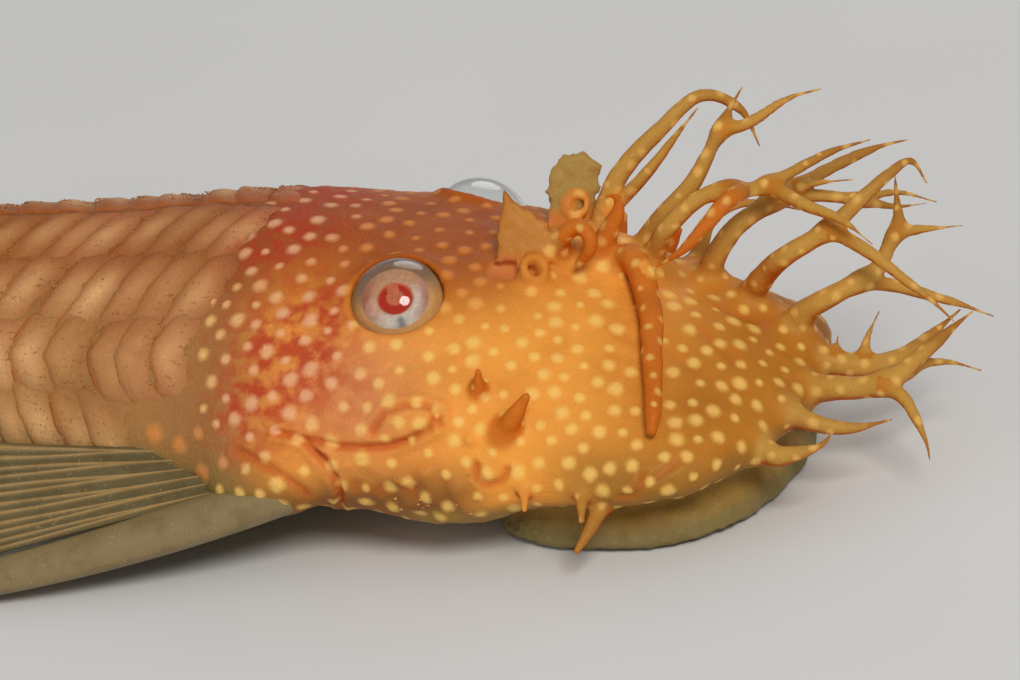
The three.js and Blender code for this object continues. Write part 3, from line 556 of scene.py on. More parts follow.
def model_eyes_and_nostrils(clay):
    for centre, axis in zip(both_sides(EYE_CENTRE), both_sides(unit(EYE_AXIS))):
        low, high = box_round(centre + axis, 5.5)
        clay.shape(ellipsoid(centre - EYE_MOUND_DEPTH * axis, [EYE_MOUND] * 3), low, high, 1.2)
        clay.shape(rod(centre, axis, EYE_OPENING, SOCKET_FLOOR, 6), low, high, 0.3, cut=True)
        clay.shape(ring(centre + RIM_LEVEL * axis, axis, RIM_RADIUS, RIM_THICKNESS), low, high, 0.35)
    openings = zip(both_sides(NOSTRIL_SPOT), both_sides(unit(NOSTRIL_AXIS)),
                   both_sides(unit(NOSTRIL_OPENING)), both_sides(REAR_NOSTRIL))
    for spot, axis, opening, rear in openings:
        low, high = box_round(spot, 3.5)
        ring_place = spot + 0.5 * axis + 0.2 * opening
        clay.shape(rod(spot, axis, TUBE_RADIUS, -1, 0.5), low, high, 0.8)
        clay.shape(ring(ring_place, opening, TUBE_RIM, 0.31), low, high, 0.3)
        clay.shape(rod(ring_place, opening, TUBE_BORE, -0.9, 2), low, high, 0.2, cut=True)
        clay.shape(bowl(spot + rear, axis, REAR_NOSTRIL_SIZE), low - 2, high + 2, 0.35, cut=True)
    low, high = box_round(CUP, 2)
    clay.shape(ring(CUP, CUP_AXIS, TUBE_RIM, 0.26), low, high, 0.3)
    for label, (w, outline) in FLAPS.items():
        route = np.array([[u, v, w] for u, v in outline])
        low, high = box_round(on_plane(route), 1.5)
        clay.shape(flap_field(w, outline, FLAP_NOTCH[label]), low, high, 0.7)


# Mesh arithmetic

def edges_of(faces):
    sides = faces.shape[1]
    pairs = np.concatenate([faces[:, [k, (k + 1) % sides]] for k in range(sides)])
    return np.unique(np.sort(pairs, 1), axis=0)


def normals_of(points, faces):
    diagonal_a = points[faces[:, 2]] - points[faces[:, 0]]
    diagonal_b = points[faces[:, -1]] - points[faces[:, 1]]
    face_normals = np.cross(diagonal_a, diagonal_b)
    total = np.stack([np.bincount(faces.ravel(), np.repeat(face_normals[:, k], faces.shape[1]),
                                  len(points)) for k in range(3)], 1)
    return total / np.maximum(np.linalg.norm(total, axis=1, keepdims=True), 1e-12)


def smoothed(points, edges, weight, rounds):
    """Points drawn towards the mean of their neighbours, as far as their weight says."""
    count = np.bincount(edges.ravel(), minlength=len(points))[:, None]
    for _ in range(rounds):
        mean = np.stack([np.bincount(edges[:, 0], points[edges[:, 1], k], len(points))
                         + np.bincount(edges[:, 1], points[edges[:, 0], k], len(points))
                         for k in range(3)], 1) / np.maximum(count, 1)
        points = points + (mean - points) * weight
    return points


def nearest_in(targets, points):
    """Index of the nearest target and the distance to it, for each point."""
    tree = KDTree(len(targets))
    for i, target in enumerate(targets):
        tree.insert(target, i)
    tree.balance()
    found = [tree.find(p)[1:] for p in points]
    index, away = np.array(found).T
    return index.astype(int), away


def line_distance(points, line):
    """Distance from points to a broken line."""
    line = np.array(line, float)
    best = np.full(len(points), 99.0)
    for p, q in zip(line[:-1], line[1:]):
        t = np.clip((points - p) @ (q - p) / np.sum((q - p) ** 2), 0, 1)[:, None]
        best = np.minimum(best, np.linalg.norm(points - p - t * (q - p), axis=1))
    return best


def to_right(points):
    """The same places on the right side of a straight fish."""
    straight = points.copy()
    straight[:, 1] = -np.abs(points[:, 1] - sway_at(points[:, 0]))
    return straight


def spread_spots(points, allowed, spacing, rng):
    """Evenly scattered points, no two closer than their spacing."""
    order = rng.permutation(np.nonzero(allowed)[0])[:60000]
    size = spacing.max()
    cells, chosen = {}, []
    for i in order:
        p = points[i]
        key = tuple(np.floor(p / size).astype(int))
        near = (j for a in (-1, 0, 1) for b in (-1, 0, 1) for c in (-1, 0, 1)
                for j in cells.get((key[0] + a, key[1] + b, key[2] + c), ()))
        if all(np.sum((points[j] - p) ** 2) > spacing[i] ** 2 for j in near):
            cells.setdefault(key, []).append(i)
            chosen.append(i)
    return np.array(chosen)


# Markings and painted shade, the same for skin, plates and granules

def srgb(red, green, blue):
    """A colour given by its 0 to 255 values, as light."""
    c = np.array([red, green, blue]) / 255
    return np.where(c <= 0.04045, c / 12.92, ((c + 0.055) / 1.055) ** 2.4)


TONES = {
    "head": (248, 164, 66), "snout": (192, 122, 38), "snout_low": (168, 114, 42),
    # the first colour on the next line is the head top's deeper orange, darkened with painted shade
    "head_top_shaded": (152, 58, 6), "below_eye": (218, 140, 94), "cheek": (150, 96, 42),
    "trunk": (172, 120, 66), "trunk_top": (152, 76, 18), "trunk_low": (112, 106, 52),
    # lip, on the next line, is the lips' own tan darkened with painted shade from the overhanging head
    # the last colour on the next line is painted shade for the folds' creases
    "belly": (222, 196, 166), "lip": (156, 120, 56), "lip_rim": (132, 116, 72), "crease_shade": (198, 84, 22),
    "blush": (186, 52, 34), "warm": (208, 102, 14), "feeler": (198, 148, 66),
    # the first colour on the next line is painted shade for the narrow sides of feelers and flaps
    "side_shade": (188, 92, 10), "flap": (196, 130, 56), "tip": (150, 82, 18),
    "spot": (255, 208, 110), "spot_top": (232, 140, 62), "spot_blush": (246, 186, 138),
    "spot_base": (226, 142, 66), "spot_feeler": (238, 186, 98), "cavity": (220, 136, 74),
    "far_flap": (176, 140, 72), "plate_edge": (200, 108, 44), "plate_rosy": (196, 110, 74),
    # the granule colour on the next line is the odontodes' own pale tone, made brighter as a painted glint
    "plate_pale": (238, 184, 126), "granule": (232, 186, 126), "ray": (178, 144, 90),
    "membrane": (104, 90, 54), "spine": (142, 122, 82),
    # of the eye
    "pupil": (206, 44, 2), "pupil_edge": (236, 84, 30), "silver": (236, 172, 128),
    # the first colour on the next line is a painted highlight for the lower iris
    "bright": (255, 242, 226), "flank": (204, 96, 56), "inner": (240, 186, 150),
    # the ring colours at the ends of the next two lines are painted shade for the top and painted light for
    # the bottom
    "lobe": (236, 128, 84), "notch": (120, 116, 112), "ring_shaded_top": (168, 124, 80),
    "ring_lit_low": (250, 184, 112),
}
TONES = {name: srgb(*value) for name, value in TONES.items()}


def blended(first, second, weight):
    weight = np.clip(weight, 0, 1)[:, None]
    return first * (1 - weight) + second * weight


def mix(tones, name, weight):
    return blended(tones, TONES[name], weight)


def body_tone(points):
    """Ground colour of the fish at points, without spots or blush, with painted shade on top of the head."""
    right = to_right(points)
    d, z = -right[:, 0], right[:, 2]
    top, belly = curve_at(TOP_LINE, d), curve_at(BELLY_LINE, d)
    share = (z - belly) / (top - belly)
    tones = np.tile(TONES["head"], (len(points), 1))
    tones = mix(tones, "snout", smoothstep(13, 2, d))
    tones = mix(tones, "snout_low", smoothstep(14, 7, d) * smoothstep(0.62, 0.35, share))
    tones = mix(tones, "below_eye", 0.8 * np.exp(-np.sum((right - [-24, -12.5, 11]) ** 2, 1) / 22))
    # painted shade: the top of the head is darkened as if less light falls on it from above, over its own
    # deeper orange
    tones = mix(tones, "head_top_shaded", smoothstep(11, 20, d) * smoothstep(0.78, 1.0, share) * 0.85)
    tones = mix(tones, "cheek", smoothstep(14, 18, d) * smoothstep(0.45, 0.25, share))
    behind = smoothstep(29, 35, d + 3 * (1 - share))
    trunk = np.tile(TONES["trunk"], (len(points), 1))
    trunk = mix(trunk, "trunk_top", smoothstep(0.75, 1.0, share) * 0.8)
    trunk = mix(trunk, "trunk_low", smoothstep(0.5, 0.2, share))
    tones = tones * (1 - behind[:, None]) + trunk * behind[:, None]
    return mix(tones, "belly", smoothstep(0.10, 0.03, share) * smoothstep(14, 24, d))


def blush_at(points):
    right = to_right(points)
    total = np.zeros(len(points))
    for place, radius, strength in BLUSH:
        total += strength * np.exp(-np.sum((right - place) ** 2, 1) / (2 * radius ** 2))
    return np.clip(total, 0, 1)


# The finished skin: folds, spots, markings and painted shade

def plane_places(points):
    """Places on the oblique plane, as u, v and w."""
    off = points - PLANE_CENTRE
    w = off @ OUTWARD
    shrink = 1 - w / PLANE["distance"]
    return off @ FORWARD / shrink, off @ UPWARD / shrink, w


def flattened(points):
    """Places on the oblique plane, with the depth counted for little."""
    u, v, w = plane_places(points)
    return np.stack([u, v, 0.15 * w], 1)


def ripple(points, wavelength, rng, waves=9):
    """A soft uneven swell over the points, from -1 to 1."""
    total = np.zeros(len(points))
    for _ in range(waves):
        way = unit(rng.normal(size=3)) * 2 * math.pi / (wavelength * rng.uniform(0.7, 1.4))
        total += np.sin(points @ way + rng.uniform(0, 6.3))
    return total / waves ** 0.5 / 1.6


def draw_feelers(points, arms):
    """Points with the feelers' tips drawn out, and how each point lies on a feeler."""
    axis = np.vstack([a["axis"] for a in arms])
    radius, drawn, share = (np.concatenate([a[k] for a in arms]) for k in ("radius", "drawn", "share"))
    warm, bare = (np.concatenate([np.full(len(a["axis"]), float(a[k])) for a in arms])
                  for k in ("warm", "bare"))
    front = np.nonzero(points[:, 0] > FEELERS_END)[0]
    index, away = nearest_in(axis, points[front])
    on, along, is_warm, is_bare = np.zeros((4, len(points)))
    on[front] = smoothstep(1.75, 1.15, away / radius[index])
    along[front], is_warm[front], is_bare[front] = share[index], warm[index], bare[index]
    pull = 1 - (1 - drawn[index]) * on[front]
    points[front] = axis[index] + (points[front] - axis[index]) * pull[:, None]
    # the crown's plane, across which the feelers' narrow sides get painted shade
    crown = np.vstack([a["axis"] for a in arms if not a["bare"]])
    flat = np.linalg.svd(crown - crown.mean(0), full_matrices=False)[2][2]
    return points, SimpleNamespace(on=on, share=along, warm=is_warm, bare=is_bare, flat=flat)


def zones_of(points, feelers):
    """Measures of each point on the body, and the regions of the face that it is in."""
    right = to_right(points)
    d, z = -right[:, 0], right[:, 2]
    u, v, w = plane_places(points)
    top, belly = curve_at(TOP_LINE, d), curve_at(BELLY_LINE, d)
    share = (z - belly) / (top - belly)
    near_eye = np.linalg.norm(right - EYE_CENTRE, axis=1) < 4
    off_axis = np.linalg.norm(np.cross(right - EYE_CENTRE, unit(EYE_AXIS)), axis=1)
    near_flap, far_flap = ((np.abs(w - place) < half) & (v > FLAPS_FROM) & (u > low) & (u < high)
                           for place, half, low, high in FLAP_ZONES.values())
    tinted = far_flap & (np.abs(w - FLAP_ZONES["left"][0]) < FAR_FLAP_TINT)
    return SimpleNamespace(
        right=right, d=d, z=z, v=v, share=share, behind=d + 3.2 * (1 - share),
        lip=smoothstep(4.9, 3.7, z) * smoothstep(22.0, 20.0, d) * (1 - feelers.on),
        off_axis=off_axis, near_eye=near_eye, in_socket=near_eye & (off_axis < RIM_RADIUS + 0.25),
        in_cavity=smoothstep(1.25, 0.85, np.linalg.norm(right - NOSTRIL_SPOT - REAR_NOSTRIL, axis=1)),
        base=np.linalg.norm((right - PECTORAL_BASE[0]) / PECTORAL_BASE[1], axis=1) < 1,
        near_flap=near_flap, far_flap=tinted, on_flap=(near_flap | far_flap) & (feelers.on < 0.2))


def spot_reach(points, zone, feelers, rng):
    """Distance of each point from the middle of its nearest spot, in radii of that spot."""
    on_arm = feelers.on > 0.5
    allowed = ((zone.behind < 35.8) | zone.base) & (zone.z > 1.9) & ~zone.in_socket & ~zone.on_flap
    allowed &= (zone.in_cavity < 0.1) & (zone.share > 0.12)
    allowed &= ~((feelers.on > 0.3) & (zone.right[:, 1] < -12.5) & (zone.d > 12))
    spacing = np.where(on_arm, 1.1, np.where(zone.base, 1.9, np.where(zone.d > 20, 1.5, 1.36)))
    spots = spread_spots(points, allowed, spacing * (1 + 0.14 * rng.uniform(-1, 1, len(points))), rng)
    size = np.where(on_arm, 0.3, np.where(zone.base, 0.55, np.where(zone.d > 24, 0.42, 0.4)))
    size = size * (1 + 0.3 * rng.uniform(-1, 1, len(points)))
    nearest, gap = nearest_in(points[spots], points)
    behind_head = 2 * smoothstep(37.5, 39, zone.behind) * ~zone.base
    low_on_lip = 1.2 * zone.lip * smoothstep(3.4, 1.8, zone.z)
    return gap / size[spots][nearest] + behind_head + low_on_lip


def relief_of(points, zone, feelers, reach, rng):
    """Height of the skin's small forms over its smooth shape, and how strongly painted shade darkens each
    fold.
    """
    lift, crease_shade_mask = np.zeros(len(points)), np.zeros(len(points))
    places = flattened(zone.right)
    for depth, width, line in FOLDS:
        gap = line_distance(places, flattened(np.array(line)))
        lift -= depth * (np.exp(-(gap / width) ** 2) - 0.45 * np.exp(-((gap - 2.1 * width) / width) ** 2))
        # painted shade along each fold's crease
        crease_shade_mask = np.maximum(crease_shade_mask, min(2.2 * depth, 0.95) * np.exp(-(gap / (1.25 * width)) ** 2))
    for place, size, height in CHEEK_LUMPS:
        lift += height * np.exp(-np.sum((zone.right - place) ** 2, 1) / (2 * (0.5 * size) ** 2))
    lift += 0.05 * smoothstep(1.2, 0.5, reach) * (1 - feelers.on)
    lift += 0.06 * ripple(points, 4.5, rng) * (1 - feelers.on) + 0.02 * ripple(points, 1.3, rng)
    rough = np.exp(-np.sum(((zone.right - ROUGH_CHEEK[0]) / ROUGH_CHEEK[1]) ** 2, 1))
    lift += 0.2 * rough * ripple(points, 1.4, rng) + 0.06 * zone.on_flap * ripple(points, 0.9, rng)
    fringe = np.exp(-((zone.z - 0.9) / 0.7) ** 2) * zone.lip
    lift += fringe * 0.16 * np.maximum(ripple(points, 0.62, rng, 14), 0)
    lift -= 0.09 * zone.lip * (1 + ripple(points, 2.6, rng))
    sweep = np.arctan2(zone.right[:, 1], zone.right[:, 0] + LIPS["d"])
    wrinkle = np.sin(46 * sweep + 2.5 * ripple(points, 5, rng)) * np.exp(-((zone.z - 1.7) / 1.1) ** 2)
    lift += 0.045 * zone.lip * wrinkle
    return lift * (1 - zone.in_socket), crease_shade_mask * (1 - zone.in_socket)


def skin_tones(points, normals, zone, feelers):
    """Ground colour of the skin. A feeler or a flap is deeper in tone on its narrow sides, as painted shade
    of its translucent edges.

    The crown of feelers spreads in one plane, feelers.flat, and a flap's flat faces look along OUTWARD,
    towards the camera.
    """
    free = feelers.on * smoothstep(0.05, 0.3, feelers.share)
    # painted shade: deeper tone where a feeler's surface faces along the crown's plane, on its narrow sides
    narrow_side_shade = smoothstep(0.62, 0.15, np.abs(normals @ feelers.flat))
    # painted shade: deeper tone where a flap's surface turns away from OUTWARD, on its narrow sides
    flap_side_shade = smoothstep(0.8, 0.3, np.abs(normals @ OUTWARD))
    rim = np.exp(-((zone.off_axis - RIM_RADIUS) / 0.3) ** 2) * zone.near_eye
    tones = body_tone(points)
    for name, weight in (
            # the lips' own tan, darkened with painted shade from the overhanging head
            ("lip", zone.lip),
            ("lip_rim", zone.lip * smoothstep(2.4, 0.8, zone.z)),
            ("feeler", free * (1 - feelers.bare)),
            # painted shade on the feelers' narrow sides
            ("side_shade", free * narrow_side_shade),
            ("tip", free * smoothstep(0.55, 1.0, feelers.share) * (1 - feelers.bare) * 0.7),
            # warm feelers, a little deeper on their narrow sides as painted shade
            ("warm", free * feelers.warm * (0.8 + 0.15 * narrow_side_shade)),
            ("cavity", zone.in_cavity * 0.8),
            ("far_flap", zone.far_flap * smoothstep(7.6, 8.6, zone.v)),
            ("flap", zone.near_flap * smoothstep(5, 6, zone.v)),
            # painted shade on the near flap's narrow sides
            ("side_shade", zone.near_flap * flap_side_shade * 0.8),
            ("warm", 0.3 * rim)):
        tones = mix(tones, name, weight)
    return tones


def spot_tones(points, zone, feelers, blush):
    tones = np.tile(TONES["spot"], (len(points), 1))
    tones = mix(tones, "spot_top", smoothstep(12, 19, zone.d) * smoothstep(0.8, 0.97, zone.share))
    tones = mix(tones, "spot_feeler", feelers.on)
    tones = mix(tones, "spot_base", zone.base)
    return mix(tones, "spot_blush", blush * 1.4)


def finish_skin(points, faces, arms, rng):
    """Sculpts the skin's small forms and works out its markings, painted shade and painted glints."""
    edges = edges_of(faces)
    points, feelers = draw_feelers(smoothed(points, edges, 0.35, 2), arms)
    right = to_right(points)
    plain = (1 - feelers.on) * smoothstep(2.5, 3.5, np.linalg.norm(right - NOSTRIL_SPOT, axis=1))
    plain *= smoothstep(3.6, 4.4, np.linalg.norm(right - EYE_CENTRE, axis=1))
    points = smoothed(points, edges, 0.5 * plain[:, None], 5)
    normals = normals_of(points, faces)
    zone = zones_of(points, feelers)
    reach = spot_reach(points, zone, feelers, rng)
    lift, crease_shade_mask = relief_of(points, zone, feelers, reach, rng)
    points = points + normals * lift[:, None]
    points[:, 2] = np.maximum(points[:, 2], 0)
    blush = blush_at(points) * (1 - zone.in_socket)
    return points, {
        "tone": skin_tones(points, normals, zone, feelers), "blush": blush, "crease_shade": crease_shade_mask,
        "spot_tone": spot_tones(points, zone, feelers, blush), "spot": reach,
        # where the odontodes' pale specks are, brightened by the material as painted glints
        "pale_speck_glint": smoothstep(12, 30, zone.d) * (1 - 0.6 * zone.lip)}, normals


# Places on the side of the body, and its unwrap

TABLE_START = 14.0
ROWS, PITCH = 5, 2.62
ROW_STARTS = (35.4, 35.0, 34.6, 40.6, 43.4)
CHEVRON = 5.2  # how far the middle row's plates lie behind the outer ones


def side_table(rows=340, steps=241, kept=161):
    """Points of the right side by distance d and by share of the way from the back to the belly."""
    d = np.linspace(TABLE_START, BODY_LENGTH, rows)
    angle = np.linspace(math.pi / 2, -math.pi / 2, steps)
    up = angle > 0
    top, belly, level = (curve_at(t, d)[:, None] for t in (TOP_LINE, BELLY_LINE, WIDEST_LEVEL))
    power = 2 / np.where(up, curve_at(UPPER_POWER, d)[:, None], curve_at(LOWER_POWER, d)[:, None])
    height = np.where(up, top - level, level - belly)
    y = -half_width_at(d)[:, None] * np.abs(np.cos(angle)) ** power
    z = level + height * np.sign(np.sin(angle)) * np.abs(np.sin(angle)) ** power
    x = np.broadcast_to(-d[:, None], y.shape)
    dense = np.stack([x, y, z], 2)
    reach = np.cumsum(np.linalg.norm(np.diff(dense, axis=1), axis=2), axis=1)
    reach = np.concatenate([np.zeros((rows, 1)), reach / reach[:, -1:]], 1)
    share = np.linspace(0, 1, kept)
    table = np.stack([np.stack([np.interp(share, reach[i], dense[i, :, k]) for k in range(3)], 1)
                      for i in range(rows)])
    across = np.gradient(table, axis=0)
    down = np.gradient(table, axis=1)
    normals = unit(np.cross(across, down) + 1e-9)
    facing = np.sign(np.sum(normals * (table - [0, 0, 7] * np.ones(3) - table * [1, 0, 0]), axis=2))
    return table, normals * facing[..., None]


SIDE_POINTS, SIDE_NORMALS = side_table()


def on_side(d, share, lift, side):
    """Points over the body at distance d, share of the way down and height over it."""
    rows, columns = SIDE_POINTS.shape[:2]
    i = np.clip((d - TABLE_START) / (BODY_LENGTH - TABLE_START) * (rows - 1), 0, rows - 1.001)
    j = np.clip(share * (columns - 1), 0, columns - 1.001)
    i0, j0 = i.astype(int), j.astype(int)
    fi, fj = (i - i0)[..., None], (j - j0)[..., None]

    def read(table):
        return ((table[i0, j0] * (1 - fi) + table[i0 + 1, j0] * fi) * (1 - fj)
                + (table[i0, j0 + 1] * (1 - fi) + table[i0 + 1, j0 + 1] * fi) * fj)
    normals = unit(read(SIDE_NORMALS))
    points = read(SIDE_POINTS) + normals * np.asarray(lift)[..., None]
    points[..., 1] = points[..., 1] * side + sway_at(points[..., 0])
    return points, normals * [1, side, 1]


def unwrap(d, share, side):
    """Where a place on the body lies on its unwrap."""
    return np.stack([0.03 + 0.94 * d / (BODY_LENGTH + 2), 0.5 - side * 0.47 * share], -1)


def slab_faces(rows, columns):
    """Quads of a closed slab: an upper grid, a lower grid and the walls between them."""
    index = np.arange(rows * columns).reshape(rows, columns)
    top = np.stack([index[:-1, :-1], index[1:, :-1], index[1:, 1:], index[:-1, 1:]], -1).reshape(-1, 4)
    low = top[:, ::-1] + rows * columns
    border = np.concatenate([index[:, 0], index[-1, 1:], index[-2::-1, -1], index[0, -2:0:-1]])
    after = np.roll(border, -1)
    wall = np.stack([after, border, border + rows * columns, after + rows * columns], 1)
    return np.concatenate([top, low, wall])


# Bony plates

def plate_lift(a, c):
    """Height of a plate over the solids' surface: it rises backward and ends in a rounded edge."""
    rise = smoothstep(0.0, 0.8, a) * (1 - smoothstep(0.82, 1.0, a) * 0.75)
    side = 1 - np.abs(c) ** 4
    return -PLATE_DEPTH - 0.06 + 0.36 * rise * side


def plate_places(row, number, a, c):
    """Distance d and share of the way down, over a plate."""
    at = (row + 0.5 + 0.62 * c + 0.07 * np.sin(1.9 * number + 2.3 * row)) / ROWS
    chevron = CHEVRON * (1 - np.abs(2 * at - 1)) - CHEVRON * 0.7
    start = ROW_STARTS[row] + number * PITCH + chevron
    length = PITCH * 1.62 * (1 - 0.16 * c ** 2)
    d = np.minimum(start - 0.5 * PITCH + a * length + 0.35 * PITCH * c ** 2 * 0.5, BODY_LENGTH - 0.2)
    covered = 0.70 + 0.28 * smoothstep(58, 78, d)
    return d, np.clip(at * covered + 0.006, 0.006, 1)


def plate_count(row):
    return int((BODY_LENGTH - 2.4 - ROW_STARTS[row]) / PITCH) + 1


def make_plates(side, rng):
    """Every bony plate of one side, joined, with its markings and unwrap."""
    across, along = ((15, 19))
    a, c = np.meshgrid(np.linspace(0, 1, along), np.linspace(-1, 1, across), indexing="ij")
    a = a ** 0.8
    faces_one = slab_faces(along, across)
    points, faces, marks, maps = [], [], [], []
    for row in range(ROWS):
        for number in range(plate_count(row)):
            swell = 1 + 0.25 * rng.uniform(-1, 1)
            d, share = plate_places(row, number + 0.24 * rng.uniform(-1, 1), a, c)
            turn = rng.uniform(0, 6)
            wrinkles = 0.03 * np.sin(13 * c + 5 * a + turn) + 0.03 * np.sin(15 * a - 6 * c + turn)
            upper, _ = on_side(d, share, plate_lift(a, c) * swell + wrinkles, side)
            lower, _ = on_side(d, share, np.full(a.shape, -PLATE_DEPTH - 0.22), side)
            faces.append(faces_one + sum(len(p) for p in points))
            points.append(np.concatenate([upper.reshape(-1, 3), lower.reshape(-1, 3)]))
            edge = np.maximum(smoothstep(0.84, 0.97, a), 0.2 * smoothstep(0.84, 1.0, np.abs(c)))
            pale = np.exp(-((a - 0.6) / 0.24) ** 2 - ((c - 0.1) / 0.6) ** 2) * rng.uniform(0.3, 1.0)
            both = [np.concatenate([m.ravel()] * 2) for m in (edge, pale)]
            marks.append(np.stack(both, 1))
            cell_d = ROW_STARTS[row] + (number + 0.5) * PITCH + (a - 0.5) * PITCH * 0.9
            cell_share = (row + 0.5 + 0.44 * c) / ROWS * 0.98
            upper_map = unwrap(cell_d, cell_share, side).reshape(-1, 2)
            tuck = upper_map[:1] + (upper_map - upper_map[:1]) * 0.02
            maps.append(np.concatenate([upper_map, tuck]))
    points, faces, marks, maps = (np.concatenate(v) for v in (points, faces, marks, maps))
    if side < 0:
        faces = faces[:, ::-1]
    tones = body_tone(points)
    low = smoothstep(9.5, 6, points[:, 2])
    rosy = 0.5 + 0.5 * ripple(points, 11, np.random.default_rng(SEED))
    tones = mix(tones, "plate_rosy", np.clip(rosy, 0, 1) * 0.4 * (1 - low))
    tones = mix(tones, "plate_edge", marks[:, 0] * (0.65 - 0.4 * low))
    tones = mix(tones, "plate_pale", marks[:, 1] * (0.8 - 0.3 * low))
    zeros = np.zeros(len(points))
    return points, faces, maps, {
        "tone": tones, "spot_tone": tones, "spot": zeros + 3, "blush": blush_at(points) * 0.8,
        # the plates get odontode specks all over, brightened as painted glints
        "crease_shade": zeros, "pale_speck_glint": zeros + 1}


# Granules: small joined cones that lean backward

def make_granules(roots, normals, maps, length, width, rng):
    """One three-sided cone at each root."""
    count = len(roots)
    back = np.tile([-1.0, 0, 0], (count, 1))
    lean = unit(back - normals * np.sum(back * normals, 1, keepdims=True) + 1e-6)
    aim = unit(normals * 0.3 + lean + 0.18 * rng.normal(size=(count, 3)))
    aside = unit(np.cross(aim, normals + 0.01))
    above = np.cross(aside, aim)
    size = (0.7 + 0.6 * rng.random((count, 1)))
    root = roots - aim * length * 0.25
    corners = [root + (aside * math.cos(t) + above * math.sin(t)) * size * width
               for t in (0, 2 * math.pi / 3, 4 * math.pi / 3)]
    points = np.stack([*corners, root + aim * size * length * 1.25], 1).reshape(-1, 3)
    first = np.arange(count)[:, None] * 4
    faces = np.concatenate([first + [0, 1, 3], first + [1, 2, 3], first + [2, 0, 3],
                            first + [2, 1, 0]])
    patch = np.array([[-1, -1], [1, -1], [0, 1], [0, 0]]) * 0.0015
    return points, faces, (maps[:, None, :] + patch).reshape(-1, 2)


def plate_granules(side, rng):
    """Roots, normals and unwrap of the granules over the plates of one side."""
    count = GRANULES_PER_PLATE
    roots, normals, maps = [], [], []
    for row in range(ROWS):
        for number in range(plate_count(row)):
            a = 0.25 + 0.68 * rng.random(count)
            c = 0.8 * (2 * (rng.integers(0, 10, count) + 0.5) / 10 - 1) + rng.normal(0, 0.025, count)
            d, share = plate_places(row, number, a, c)
            share = np.maximum(share, 0.035)
            place, normal = on_side(d, share, plate_lift(a, c), side)
            roots.append(place)
            normals.append(normal)
            maps.append(unwrap(d, share, side))
    return (np.concatenate(v) for v in (roots, normals, maps))


CHEEK_SPINES = {"place": (-18.9, -14.3, 5.2), "spread": (1.9, 0.5, 0.9), "count": 14, "length": 0.22,
                "width": 0.1}
GRANULE_SIZE = 0.07
GRANULES_PER_PLATE = 60


def cheek_spine_roots(points, normals, side, rng):
    """Places and normals on the skin for the short spines in front of the gill opening."""
    middle = np.array(CHEEK_SPINES["place"]) * [1, side, 1]
    near = np.nonzero(np.linalg.norm(points - middle, axis=1) < 3)[0]
    wanted = middle + rng.normal(size=(CHEEK_SPINES["count"], 3)) * CHEEK_SPINES["spread"]
    index, _ = nearest_in(points[near], wanted)
    index = near[np.unique(index)]
    return points[index], normals[index]


# Fins

PECTORAL = {
    "spine": {"from": (-26.2, -13.5, 6.2), "to": (-57, -23.4, 0.7), "bow": (0, -0.6, -0.8),
              "width": 3.9, "thickness": 2.8},
    "root_front": (-28.2, -13.8, 6), "root_back": (-33, -13.6, 7.6), "aim_front": (-29, -9.4, -4.6),
    "aim_back": (-20, -0.1, 0.1), "lengths": (28, 21), "bulge": 2, "rays": 6, "thickness": (0.9, 0.24)}
PELVIC = {
    "spine": {"from": (-54.5, -6, 1.6), "to": (-76, -14.2, 0.3), "bow": (0, 0, 0), "width": 2.4,
              "thickness": 1.7},
    "root_front": (-55, -6, 1.4), "root_back": (-57.5, -3, 1.2), "aim_front": (-21.5, -8.2, -0.9),
    "aim_back": (-14, -0.8, -0.5), "lengths": (23, 14), "bulge": 2.5, "rays": 5,
    "thickness": (0.8, 0.24)}
MEDIAN_FINS = {
    "dorsal_fin": {
        "root_front": (-49.5, 0, 16.8), "root_back": (-75, 0, 14.9), "aim_front": (-25, 0, 1.1),
        "aim_back": (-10, 0, 0.2), "lengths": (25.5, 11), "rays": 8, "thickness": (1.1, 0.5)},
    "adipose_fin": {
        "root_front": (-83.5, 0, 13.8), "root_back": (-91, 0, 13.1), "aim_front": (-7, 0, 3.2),
        "aim_back": (-3, 0, 0.8), "lengths": (7.4, 1.8), "rays": 0, "thickness": (1.1, 0.3)},
    "anal_fin": {
        "root_front": (-71.5, 0, 2), "root_back": (-77.5, 0, 2.4), "aim_front": (-9.5, 0, -1.6),
        "aim_back": (-6, 0, 0.2), "lengths": (10.5, 6), "rays": 5, "thickness": (0.8, 0.24)},
    "caudal_fin": {
        "root_front": (-96.5, 0, 14), "root_back": (-96.5, 0, 3.2), "aim_front": (-24, 0, 7.4),
        "aim_back": (-28, 0, -3.1), "lengths": (27, 31.5), "bulge": -9, "rays": 16,
        "thickness": (1.6, 0.26)},
}


def fin_surface(fin, a, c):
    """Points of a fin's middle surface, a from root to edge and c from its first ray to its last."""
    a, c = a[..., None], c[..., None]
    front, back = np.array(fin["root_front"], float), np.array(fin["root_back"], float)
    first, last = np.array(fin["aim_front"], float), np.array(fin["aim_back"], float)
    aim = unit(first * (1 - c) + last * c)
    length = fin["lengths"][0] * (1 - c) + fin["lengths"][1] * c
    length = length + fin.get("bulge", 0) * np.sin(math.pi * c)
    return front * (1 - c) + back * c + aim * length * a


def ray_height(fin, a, c):
    """How much of a ray lies at a place on a fin: each ray forks once and then again."""
    if not fin["rays"]:
        return np.zeros(a.shape)
    cell = (c * fin["rays"]) % 1 - 0.5
    fork = 0.23 * smoothstep(0.22, 0.62, a)
    second = 0.1 * smoothstep(0.6, 0.95, a)
    gap = np.abs(np.abs(np.abs(cell) - fork) - second)
    return np.exp(-(gap / (0.13 - 0.06 * a)) ** 2)


